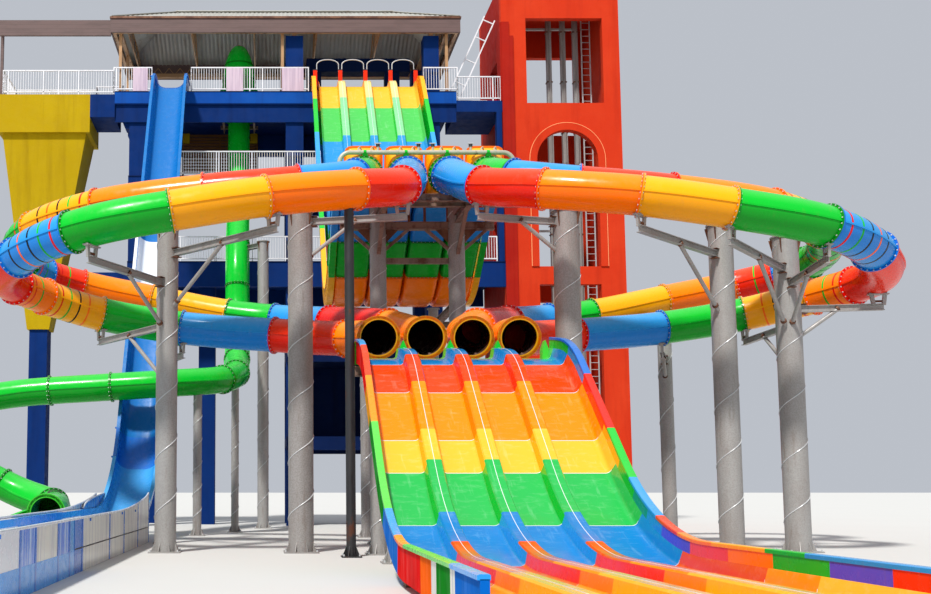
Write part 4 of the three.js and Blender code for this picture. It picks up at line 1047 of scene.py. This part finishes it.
# Capsule slide
DROP = Curve([
    (-5.84, 2.1, 19.3), (-5.84, 2.05, 17.6), (-5.82, 1.45, 15.8), (-5.79, 0.0, 14.1),
    (-5.77, -1.5, 12.5), (-5.75, -2.35, 10.9), (-5.73, -2.7, 9.2), (-5.7, -3.5, 7.6),
    (-5.68, -5.2, 6.45), (-5.7, -7.2, 5.8), (-6.25, -8.9, 5.45), (-7.7, -9.8, 5.25),
    (-10.0, -9.85, 5.1), (-13.3, -9.85, 4.85), (-14.9, -10.3, 4.45), (-15.5, -11.3, 3.9),
    (-14.9, -12.3, 3.1), (-13.7, -12.7, 2.25), (-12.2, -12.9, 1.5), (-11.1, -13.5, 1.15),
    (-10.75, -14.7, 1.0), (-10.75, -15.7, 0.92),
], first=(-1.0, 0, 0))


def capsule_tube():
    shape = Shape("capsule_tube", "drop_tube", "long_tube", "lower_tube")
    start, end, section = 0.07, DROP.length, 2.1
    stops = np.linspace(start, end, round((end - start) / section) + 1)
    for a, b in zip(stops, stops[1:]):
        tube_section(shape, "green", DROP, a, b, bore="teal" if b == stops[-1] else "green")
    hoop(shape, "lime", DROP, end - 0.06, end, TUBE_BORE - 0.005, 0.56)
    for s in (end - 1.5, end - 5.6):
        p, side, up = DROP.frames([s])[0]
        for reach in (-0.2, 0.2):
            points = [p + DROP.along(s) * reach + side * (0.43 * cos(t)) + up * (0.517 * sin(t))
                      for t in np.linspace(radians(60), radians(120), 7)]
            shape.hose("dark_steel", points, 0.014, sides=8)
    shape.build()


def capsule():
    shape = Shape("rocket_capsule", "rocket_capsule")
    axis, z0 = (CAPSULE_X, CAPSULE_Y), DECK_TOP + 0.0003
    radius, height, skin = 0.8, 3.1, 0.05
    door, door_top = radians(22), 0.63
    gap = (pi / 2 + door, pi / 2 + 2 * pi - door)

    def wide(t):
        return radius * math.sqrt(max(0.0, 1 - t ** 3))

    for turn, low, high in ((gap, 0.0, door_top), (WHOLE, door_top, 1.0)):
        rows = sorted({low, *[t for t in np.linspace(0, 1, 25) if low <= t <= high], high})
        outer = [(max(wide(t), 0.01), z0 + height * t) for t in rows]
        inner = [(max(wide(t) - skin, 0.005), z0 + (height - skin) * t) for t in rows]
        edges = np.linspace(*turn, 13)
        for a, b in zip(edges, edges[1:]):
            shape.lathe("green", axis, outer, 5, (a, b))
        shape.lathe("deep_green", axis, inner[::-1], 60, turn)
    for a in np.linspace(*gap, 13):
        low = [(wide(t) + 0.012, z0 + height * t) for t in np.linspace(0.01, 0.40, 8)]
        shape.lathe("deep_green", axis, low, 2, (a - 0.05, a + 0.05))
    for t in (0.03, 0.42, 0.66):
        z = z0 + height * t
        shape.lathe("deep_green", axis, rect(wide(t), wide(t) + 0.03, z - 0.03, z + 0.03), 60,
                    WHOLE if t > door_top else gap)
    tip = [(0.10, z0 + height * 0.985), (0.05, z0 + height), (0.001, z0 + height + 0.002)]
    shape.lathe("yellow", axis, tip, 24)
    fin = [(0.74, 0.0), (1.12, 0.0), (1.1, 0.30), (1.0, 0.62), (0.84, 0.98), (0.74, 1.1)]
    for n in (0, 2, 3):
        shape.gusset("green", *axis, n * pi / 2, [(r, z0 + h) for r, h in fin], -0.024)
    shape.build()


def green_trough():
    shape = Shape("green_trough", "green_trough")
    run = Run([(-15.4, 0.48), (-17.5, 0.33, 3.0), (-23.5, 0.30)])
    half, high = 0.57, 0.56
    stops = [*[run.stop(y) for y in (-15.75, -18.2, -20.8)], run.length]
    for a, b in zip(stops, stops[1:]):
        strip(shape, "green", run, trough_section(TROUGH_X, half, high, 0.08, 0.2), a, b, True)
        strip(shape, "deep_green", run, trough_rim(TROUGH_X, half, high, 0.24), b - 0.035, b, True)
    plinths(shape, run, (-16.0, -19.6, -23.2), TROUGH_X - 0.45, TROUGH_X + 0.45, 0.04)
    shape.build()


# Steel columns
def round_column(shape, paint, x, y, radius, top, weld=1.4):
    """A spiral-welded pipe on a base plate with gussets, with a cap plate."""
    plate, foot, sides = radius + 0.12, 0.03, 40
    shape.pole(paint, x, y, foot, top, radius, sides)
    if weld:
        r = radius + 0.004
        turns = [2 * pi * k / 24 for k in range(int((top - 0.3) / weld * 24))]
        points = [(x + r * cos(t), y + r * sin(t), 0.15 + weld * t / (2 * pi)) for t in turns]
        shape.hose("bright_steel", points, 0.013, sides=6)
    shape.post(paint, x, y, plate, plate, 0.0, foot)
    fin = [(radius * 0.98, foot), (plate - 0.02, foot), (radius * 0.98, foot + 0.24)]
    for k in range(8):
        shape.gusset(paint, x, y, pi / 8 + k * pi / 4, fin, 0.008)
    reach = plate - 0.05
    for px, py in rect(x - reach, x + reach, y - reach, y + reach):
        shape.pole("bright_steel", px, py, foot, 0.075, 0.022, sides=6)
    shape.pole(paint, x, y, top - 0.02, top + 0.012, radius + 0.05, sides)


def channel(width, height, skin=0.016):
    """An I-section in (side, up)."""
    w, h, s = width / 2, height / 2, skin / 2
    return [(-w, -h), (w, -h), (w, -h + skin), (s, -h + skin), (s, h - skin), (w, h - skin),
            (w, h), (-w, h), (-w, h - skin), (-s, h - skin), (-s, -h + skin), (-w, -h + skin)]


def saddle(shape, paint, x, y, z0, z1, along):
    """Two prongs and a cradle plate under a tube."""
    across = unit(np.array((-along[1], along[0], 0.0)))

    def spot(reach, z):
        return across * reach + (x, y, z)

    for side in (-1, 1):
        shape.beam(paint, spot(side * 0.12, z0), spot(side * 0.17, z1 + 0.06), 0.06, 0.09)
    shape.beam(paint, spot(-0.24, z1 - 0.02), spot(0.24, z1 - 0.02), 0.16, 0.03)
    shape.beam("rust_steel", spot(-0.13, z0 + 0.1), spot(0.13, z0 + 0.1), 0.05, 0.05)


def arm(shape, x, y, target):
    """A cantilever from a column to a saddle under a tube, with a diagonal brace."""
    tx, ty, tz = target
    z = tz - TUBE_R - 0.33
    reach = math.hypot(tx - x, ty - y)
    ux, uy = (tx - x) / reach, (ty - y) / reach
    knee = 0.55 * reach
    drop = 0.75 * knee

    def out(r, up=0.0):
        return (x + ux * r, y + uy * r, z + up)

    shape.bar("galvanised", out(0), out(reach + 0.12), channel(0.13, 0.17))
    shape.rod("galvanised", out(0, -drop), out(knee, -0.03), 0.052)
    for s in (0.18, 0.97):
        shape.rod("rust_steel", out(knee * s, -drop * (1 - s) - 0.005),
                  out(knee * s + 0.05, -drop * (1 - s) + 0.03), 0.075, sides=12)
    saddle(shape, "galvanised", tx, ty, z + 0.05, tz - TUBE_R + 0.02, (uy, -ux))
    for up in (0.12, -0.12):
        shape.beam("rust_steel", out(0, up), out(0.45, up), 0.2, 0.014)


def steel_column(name, x, y, radius, top, arms=(), head=None, weld=1.4, paint="galvanised"):
    shape = Shape(name, name)
    round_column(shape, paint, x, y, radius, top, weld)
    for target in arms:
        arm(shape, x, y, target)
    if head:
        hx, hy, hz = head
        along = (1, 0)
        if math.hypot(hx - x, hy - y) > radius / 2:
            shape.bar("galvanised", (x, y, top - 0.12), (hx, hy, top - 0.12), channel(0.2, 0.2))
            along = (hy - y, x - hx)
        saddle(shape, "galvanised", hx, hy, top, hz - TUBE_R + 0.02, along)
        fin = [(radius, top - 0.45), (radius + 0.10, top - 0.03), (radius, top - 0.01)]
        for k in range(4):
            shape.gusset("rust_steel", x, y, k * pi / 2 + pi / 4, fin, 0.01)
    shape.build()


def columns():
    inner, outer, crown, bend, elbow, home, rear = [FRONT_LOOP[i]
                                                    for i in (2, 4, 5, 6, 8, 10, 11)]
    steel_column("left_outer_column", -7.04, -18.8, 0.275, 8.45, mirrored([outer, bend, home]),
                 (-7.04, -18.8, 9.24))
    steel_column("right_inner_column", 7.37, -18.7, 0.30, 8.45, [outer], (7.37, -18.6, 9.23))
    steel_column("right_outer_column", 9.08, -18.65, 0.31, 8.15, [crown, bend, elbow, home],
                 (9.08, -18.3, 9.04))
    steel_column("right_middle_column", 3.3, -18.85, 0.33, 8.8, [inner], (3.5, -18.85, 9.52),
                 paint="worn_zinc")
    steel_column("left_middle_column", -3.6, -18.85, 0.32, 8.8, mirrored([inner]),
                 (-3.6, -18.85, 9.5), paint="worn_zinc")
    steel_column("left_slim_column", -2.48, -20.68, 0.115, 8.38, weld=0, paint="dark_steel")
    for name, x, arms in (("left_rear_column", -7.5, mirrored([rear])),
                          ("right_rear_column", 7.5, [rear])):
        steel_column(name, x, -14.4, 0.2, 6.9, arms, (x, -13.05, 7.43))
    steel_column("drop_column", -4.66, -2.6, 0.23, 12.0, head=(-5.765, -1.65, 12.33))
    steel_column("elbow_column", -5.69, -6.5, 0.14, 5.5, weld=0.8)
    steel_column("turn_column", -6.9, -9.4, 0.15, 4.9, weld=0.8)


def trestle_beam(shape, a, b, width, height):
    shape.bar("brown_steel", a, b, channel(width, height, 0.02))
    shape.beam("brown_steel", a, b, width * 0.35, height * 0.96)


def launch_trestle():
    shape = Shape("launch_trestle", "launch_trestle")
    crest, valley, front, apart = -15.0, -10.6, -17.1, 1.17
    for x in (-apart, apart):
        round_column(shape, "worn_zinc", x, crest, 0.245,
                     LAUNCH.height(crest) + LAUNCH_LOW - 0.14, weld=1.0)
        round_column(shape, "worn_zinc", x, valley, 0.165,
                     LAUNCH.height(valley) + LAUNCH_LOW - 0.15, weld=0.9)
        trestle_beam(shape, (x, crest, 7.1), (x, valley, 7.1), 0.18, 0.2)
        trestle_beam(shape, (x, front, 9.575), (x, crest + 0.3, 9.575), 0.18, 0.25)
        shape.beam("brown_steel", (x, crest, 8.4), (x, front + 0.5, 9.5), 0.11, 0.11)
        for side in (-1, 1):
            shape.beam("brown_steel", (x, crest, 8.5), (x + side * 0.9, crest, 9.3), 0.09, 0.09)
            fin = [(side * 0.24, 8.9), (side * 0.62, 9.3), (side * 0.24, 9.3)]
            shape.gusset("rust_steel", x, crest, 0, fin, 0.01)
    for y, z, half, width, height in (
            (front, 9.66, 2.9, 0.16, 0.2), (front + 0.55, 9.66, 2.9, 0.16, 0.2),
            (crest, 9.41, 2.3, 0.24, 0.22), (crest, 8.35, apart, 0.16, 0.16),
            (valley, 7.15, 2.0, 0.2, 0.2)):
        trestle_beam(shape, (-half, y, z), (half, y, z), width, height)
    high = LAUNCH.height(crest + 0.1) + LAUNCH_LOW - 0.01
    for x in LANES:
        saddle(shape, "brown_steel", x, front + 0.12, 9.74, 9.86, (0, 1))
        for edge in (x - 0.34, x + 0.34):
            shape.beam("rust_steel", (edge, crest, 9.5), (edge, crest, high), 0.07, 0.07)
    shape.build()


def final_trestle():
    shape = Shape("final_trestle", "final_trestle")
    mouth, slope = -19.7, -22.7
    for x in (-1.725, 1.725):
        round_column(shape, "galvanised", x, mouth, 0.2, 4.45, weld=0.9)
        round_column(shape, "galvanised", x, slope, 0.15, FINAL.height(slope) + FINAL_LOW - 0.16,
                     weld=0)
        trestle_beam(shape, (x, slope, 3.0), (x, mouth, 3.0), 0.16, 0.2)
    trestle_beam(shape, (-2.3, mouth, 4.5), (2.3, mouth, 4.5), 0.26, 0.24)
    trestle_beam(shape, (-2.2, slope, 3.0), (2.2, slope, 3.0), 0.2, 0.2)
    for x in LANES:
        saddle(shape, "brown_steel", x, mouth, 4.62, 4.90, (0, 1))
    shape.build()


# Roof
RIB_PITCH = 0.2
RIB_DEEP = 0.022


def roof_height(inset):
    return EAVE + inset * math.tan(ROOF_PITCH) - RIB_DEEP


def roof():
    x0, x1 = TOWER_LEFT - ROOF_OVER, TOWER_RIGHT + ROOF_OVER
    y0, y1 = -ROOF_OVER, TOWER_DEPTH + ROOF_OVER
    run = (y1 - y0) / 2
    crest = roof_height(run) + 0.03
    shape = Shape("roof_sheet", "roof_sheet", smooth=60)
    trim = Shape("roof_trim")
    corners = np.array(rect(x0, x1, y0, y1))
    for a, b, inward in zip(corners, np.roll(corners, -1, axis=0),
                            np.array(((0, 1), (-1, 0), (0, -1), (1, 0)))):
        length = np.linalg.norm(b - a)
        count = int(length / (RIB_PITCH / 4))
        eave, top = [], []
        for k in range(count + 1):
            u = length * k / count
            rib = RIB_DEEP * cos(2 * pi * u / RIB_PITCH)
            inset = min(u, length - u, run)
            low = a + (b - a) * k / count
            eave.append((*low, roof_height(0) + rib))
            top.append((*(low + inward * inset), roof_height(inset) + rib))
        under_eave, under_top = ([(x, y, z - 0.012) for x, y, z in row] for row in (eave, top))
        for rows in ((eave, top), (under_top, under_eave), (under_eave, eave)):
            shape.loft("roof_metal", rows, wrap=False)
        trim.beam("rust_steel", (*(a - inward * 0.02), EAVE - 0.06),
                  (*(b - inward * 0.02), EAVE - 0.06), 0.045, 0.09)
    for x, y in corners:
        hip = x0 + run if x == x0 else x1 - run
        shape.beam("roof_metal", (x, y, roof_height(0) + 0.02), (hip, y0 + run, crest), 0.22, 0.03)
    shape.beam("roof_metal", (x0 + run, y0 + run, crest), (x1 - run, y0 + run, crest), 0.26, 0.03)
    shape.build()
    trim.build()
    trusses(x0, x1, y0, y1, run)


def trusses(x0, x1, y0, y1, run):
    """Lattice trusses across the roof, and a zigzag of thin bars along both eaves."""
    shape = Shape("roof_trusses")
    low, seat = EAVE - FASCIA + 0.3, EAVE - 0.15
    mid = (y0 + y1) / 2

    def stick(a, b, width, height):
        shape.beam("tan_steel", a, b, width, height)

    for x in np.linspace(x0 + 0.7, x1 - 0.7, 6):
        top = roof_height(min(run, x - x0, x1 - x)) - 0.12
        for side in (y0 + 0.25, y1 - 0.25):
            inner = mid if top > roof_height(run) - 0.2 else (mid + side) / 2
            stick((x, side, low), (x, mid, low), 0.06, 0.08)
            stick((x, side, seat), (x, inner, top), 0.06, 0.08)
            if inner != mid:
                stick((x, inner, top), (x, mid, top), 0.06, 0.08)
            for k in range(5):
                a, b = (side + (mid - side) * n / 5 for n in (k, k + 1))
                climb = min(1, abs(a - side) / abs(inner - side))
                stick((x, a, seat + (top - seat) * climb), (x, b, low), 0.035, 0.035)
    for y in (y0 + 0.12, y1 - 0.12):
        edges = np.linspace(x0 + 0.2, x1 - 0.2, int((x1 - x0 - 0.4) / 0.55) + 1)
        for a, b in zip(edges, edges[1:]):
            stick((a, y, low - 0.1), ((a + b) / 2, y, EAVE - 0.2), 0.03, 0.03)
            stick(((a + b) / 2, y, EAVE - 0.2), (b, y, low - 0.1), 0.03, 0.03)
    shape.build()


# Railings: balusters between the bars
BALUSTER_GAP = 0.115
POST_EVERY = 14


def balusters(name, points):
    shape = Shape(name)
    for a, b in zip(points, points[1:]):
        a, b = np.array(a, float), np.array(b, float)
        count = max(2, round(math.hypot(b[0] - a[0], b[1] - a[1]) / BALUSTER_GAP))
        for k in range(count + 1):
            x, y, _ = a + (b - a) * k / count
            z = a[2] if k < count / 2 else b[2]
            half, low = (0.01, RAIL_LOW) if k % POST_EVERY else (0.025, 0.0)
            shape.post("white_steel", x, y, half, half, z + low, z + RAIL_HEIGHT - 0.03)
    shape.build()


def railings():
    front, back = RAIL_INSET, TOWER_DEPTH - RAIL_INSET
    right, left = TOWER_RIGHT - RAIL_INSET, TOWER_LEFT + RAIL_INSET
    bridge, end = TOWER_RIGHT + RAIL_INSET, SHAFT_X0 - RAIL_INSET
    ped_left, ped_right = PED_X0 + 0.2, PED_X1 - RAIL_INSET
    ped_back, ped_gate = PED_DEPTH - RAIL_INSET, 1.94
    near = TOWER_LEFT - RAIL_INSET
    gate = FLUME_HALF + 0.15
    for name, z, points in (
            ("left_rail_balusters", DECK_TOP, [(CHUTE_X - 0.9, front), (near, front)]),
            ("pedestal_rail_balusters", PED_TOP,
             [(near, front), (ped_left, front), (ped_left, ped_back), (ped_right, ped_back),
              (ped_right, ped_gate), (near, ped_gate)]),
            ("middle_rail_balusters", DECK_TOP, [(CHUTE_X + 0.9, front), (-gate, front)]),
            ("right_rail_balusters", DECK_TOP, [(gate, front), (bridge, front)]),
            ("bridge_rail_balusters", BRIDGE_TOP, [(bridge, front), (end, front)]),
            ("back_rail_balusters", DECK_TOP,
             [(left, 2.1), (left, back), (right, back), (right, BACK_LINE)]),
            ("bridge_back_balusters", BRIDGE_TOP, [(bridge, BACK_LINE), (end, BACK_LINE)]),
            ("gallery_balusters_4", 4 * STOREY, [(-10.0, front), (3.3, front)]),
            ("gallery_balusters_3", 3 * STOREY, [(-10.0, front), (5.8, front)])):
        balusters(name, [(x, y, z) for x, y in points])
    shape = Shape("rail_boards")
    for x0, x1 in ((-10.60, -9.93), (-6.34, -5.58), (-3.83, -2.84)):
        shape.box("rail_board", x0, x1, front - 0.055, front - 0.035, DECK_TOP + 0.02,
                  DECK_TOP + RAIL_HEIGHT - 0.06)
    shape.build()


# Tower and shaft trims
def tower_trim():
    shape = Shape("tower_trim")
    proud, slab = 0.012, DECK_TOP - 0.03
    # The deck's front edge and left end in the lighter blue: painted sunlight.
    shape.box("sunlit_edge_blue", TOWER_LEFT, TOWER_RIGHT, -proud, 0.0, DECK_TOP - 0.56, slab)
    # Thin dark strips along the slab's top edge here and at the third and fourth floors: painted
    # shade.
    shape.box("shaded_tower_blue", TOWER_LEFT, TOWER_RIGHT, -0.03, 0.0, slab, DECK_TOP)
    shape.box("sunlit_edge_blue", TOWER_LEFT - proud, TOWER_LEFT, 0.0, TOWER_DEPTH, DECK_TOP - 0.34, slab)
    for level, x1 in ((3, SHAFT_X0), (4, 3.36)):
        shape.box("shaded_tower_blue", -10.76, x1, -0.03, 0.0, level * STOREY - 0.04, level * STOREY)
    shape.build()


def gallery_screen():
    """Louvres behind the fourth storey, between two short yellow piers."""
    shape = Shape("gallery_screen")
    x0, x1, y, z0, z1 = -8.7, -5.0, 4.62, 17.2, DECK_TOP - 0.36
    for k in range(13):
        z = z0 + (z1 - z0) * (k + 0.5) / 13
        shape.beam("louvre", (x0, y, z), (x1, y, z), 0.03, 0.13)
    for x in (x0, (x0 + x1) / 2, x1):
        shape.post("louvre", x, y + 0.06, 0.04, 0.04, 4 * STOREY, z1)
    for x in (x0 + 0.17, x1 - 0.17):
        shape.post("yellow_render", x, y - 0.07, 0.17, 0.05, 18.75, z1)
    shape.build()


def capsule_hatch():
    """The frame under the deck that holds the drop tube's head."""
    shape = Shape("capsule_hatch")
    low, high = 18.66, DECK_TOP - 0.36
    turns = np.linspace(0, 2 * pi, 9)[:-1] + pi / 8
    shape.prism("deep_green", [(CAPSULE_X + 0.82 * cos(t), CAPSULE_Y + 0.82 * sin(t))
                               for t in turns], high - 0.2, high)
    for side in (-1, 1):
        x, y = CAPSULE_X + side * 0.72, CAPSULE_Y + side * 0.75
        shape.bar("brown_steel", (x, 1.2, high - 0.35), (x, 3.0, high - 0.35),
                  channel(0.09, 0.16))
        shape.bar("brown_steel", (CAPSULE_X - 0.9, y, high - 0.3),
                  (CAPSULE_X + 0.9, y, high - 0.3), channel(0.09, 0.16))
        for leg in (1.35, 2.85):
            shape.pole("brown_steel", x, leg, low, high, 0.03)
    shape.build()


ARCH_X0 = 7.68
ARCH_X1 = 10.43
ARCH_FOOT = 11.53
ARCH_SPRING = 16.42
ARCH_BAND = 0.32


def arch_band(shape, paint, grow, wide, y0, y1):
    """A raised band round the arched opening, this far outside its edge."""
    middle, half = (ARCH_X0 + ARCH_X1) / 2, (ARCH_X1 - ARCH_X0) / 2 + grow

    def edge(r):
        top = [(middle + r * cos(t), ARCH_SPRING + r * sin(t)) for t in np.linspace(0, pi, 25)]
        return [(middle + r, ARCH_FOOT), *top, (middle - r, ARCH_FOOT)]

    shape.loft(paint, [[(xi, y0, zi), (xo, y0, zo), (xo, y1, zo), (xi, y1, zi)]
                       for (xi, zi), (xo, zo) in zip(edge(half), edge(half + wide))],
               capped=True)


def shaft_trim():
    shape = Shape("shaft_trim")
    back, lintel = 4.6, 22.85
    arch_band(shape, "red_render", 0, ARCH_BAND, -0.06, 0.0)
    # A thin pale line round the band's outer edge: a painted highlight.
    arch_band(shape, "arch_highlight_render", ARCH_BAND, 0.022, -0.065, 0.0)
    arch_band(shape, "red_render", 0, ARCH_BAND, back, back + 0.06)
    for y0, y1 in ((-0.05, 0.0), (back, back + 0.05)):
        shape.box("red_render", SHAFT_X0, SHAFT_X1, y0 - 0.02, y1, SHAFT_HIGH, SHAFT_HIGH + 0.4)
        shape.box("dark_red_render", SHAFT_X0, 6.52, y0 - 0.03, y1, 0, lintel)
        shape.box("dark_red_render", 6.52, 6.72, y0 - 0.01, y1, 0, 22.2)
    # The pilaster's face towards the left in the darker red: painted shade.
    shape.box("dark_red_render", 6.11, SHAFT_X0, -0.03, 0.5, BRIDGE_TOP, lintel)
    shape.build()

    ladder = Shape("shaft_service_ladder")
    x0, x1, y = 10.46, 10.86, 2.0
    for x in (x0, x1):
        ladder.post("bright_steel", x, y, 0.025, 0.025, 0, SHAFT_HIGH)
    for z in np.arange(0.4, 24.2, 0.32):
        ladder.rod("bright_steel", (x0, y, z), (x1, y, z), 0.016, sides=10)
    ladder.build()


def guide_trim():
    """Rail heads and brackets on the lift guides."""
    shape = Shape("guide_rails")
    for x in (7.48, 8.89, 9.56, 10.15):
        shape.post("galvanised", x, 1.88, 0.05, 0.02, 0, SHAFT_HIGH)
        shape.post("galvanised", x, 1.83, 0.012, 0.03, 0, SHAFT_HIGH)
        for z in np.arange(1.2, 24, 2.45):
            shape.post("rust_steel", x, 2.01, 0.14, 0.14, z, z + 0.05)
    shape.build()


# Paint on the CAD nodes that stay
KEPT = {
    "tower_blue": "left_frame middle_frame right_frame top_deck gallery_floor_4 gallery_floor_3 "
                  "pedestal_column",
    # The stair core and the upper portal in the darker blue: painted shade.
    "shaded_tower_blue": "stair_core upper_portal",
    "fascia_metal": "roof_fascia",
    "tan_steel": "roof_frame",
    "white_steel": "left_rail middle_rail right_rail back_rail gallery_rail_4 gallery_rail_3 "
                   "roof_ladder",
    "red_render": "shaft_front_wall shaft_back_wall shaft_right_wall",
    # The shaft's left wall in the darker red: painted shade.
    "dark_red_render": "shaft_left_wall",
    "galvanised": "lift_guides",
    "yellow_render": "pedestal_head",
}


def paint_kept_nodes():
    for paint, nodes in KEPT.items():
        for node in nodes.split():
            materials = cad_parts[node].data.materials
            materials.clear()
            materials.append(MATERIAL[paint])


# Floor, light and camera
def stage():
    floor = bpy.data.meshes.new("studio_floor")
    floor.from_pydata([(x, y, 0) for x, y in round_outline(3000, 96)], [], [tuple(range(96))])
    surface = Surface("pale_floor", (0.80, 0.80, 0.79), roughness=0.9)
    surface.cloud((0.74, 0.74, 0.73), 0.12, 0.3, 0.7, 0.2, 3)
    floor.materials.append(surface.material)
    ground = link("studio_floor", floor)
    ground.location = (0, 0, -0.002)

    world = bpy.data.worlds.new("pale_studio")
    world.use_nodes = True
    background = world.node_tree.nodes["Background"]
    background.inputs["Color"].default_value = (0.86, 0.91, 1.0, 1)
    background.inputs["Strength"].default_value = 0.58
    bpy.context.scene.world = world
    lamp = bpy.data.lights.new("soft_sun", "SUN")
    lamp.energy = 4.2
    lamp.angle = radians(5)
    lamp.color = (1.0, 0.97, 0.92)
    sun = link("soft_sun", lamp)
    sun.rotation_euler = (radians(38), 0, radians(-28))


def camera():
    """The visitor's view, tilted up a little and shifted, to frame the tower as the photo does."""
    data = bpy.data.cameras.new("visitor")
    width, focal, horizon = 931, 1018, 193
    data.sensor_width = 36
    data.lens = focal / width * data.sensor_width
    data.shift_x = 0.211
    data.shift_y = 0.11
    data.clip_end = 600
    tilt = math.atan((horizon - data.shift_y * width) / focal)
    eye = link("visitor", data)
    eye.location = SITE + Vector((-4.41, -44.8, 1.57))
    eye.rotation_euler = (radians(90) + tilt, 0, 0)
    bpy.context.scene.camera = eye


paint_kept_nodes()
racer_tube("lane_1", REAR_LOOP, REAR_SECTIONS, -1)
racer_tube("lane_2", FRONT_LOOP, FRONT_SECTIONS, -1)
racer_tube("lane_3", FRONT_LOOP, FRONT_SECTIONS, 1)
racer_tube("lane_4", REAR_LOOP, REAR_SECTIONS, 1)
for build in (launch_flume, final_flume, mouth_saddles, free_fall_chute, water_pipe,
              capsule_tube, capsule, green_trough, columns, launch_trestle, final_trestle,
              roof, railings, tower_trim, gallery_screen, capsule_hatch, shaft_trim,
              guide_trim, stage, camera):
    build()
bpy.context.scene.view_settings.view_transform = "Standard"
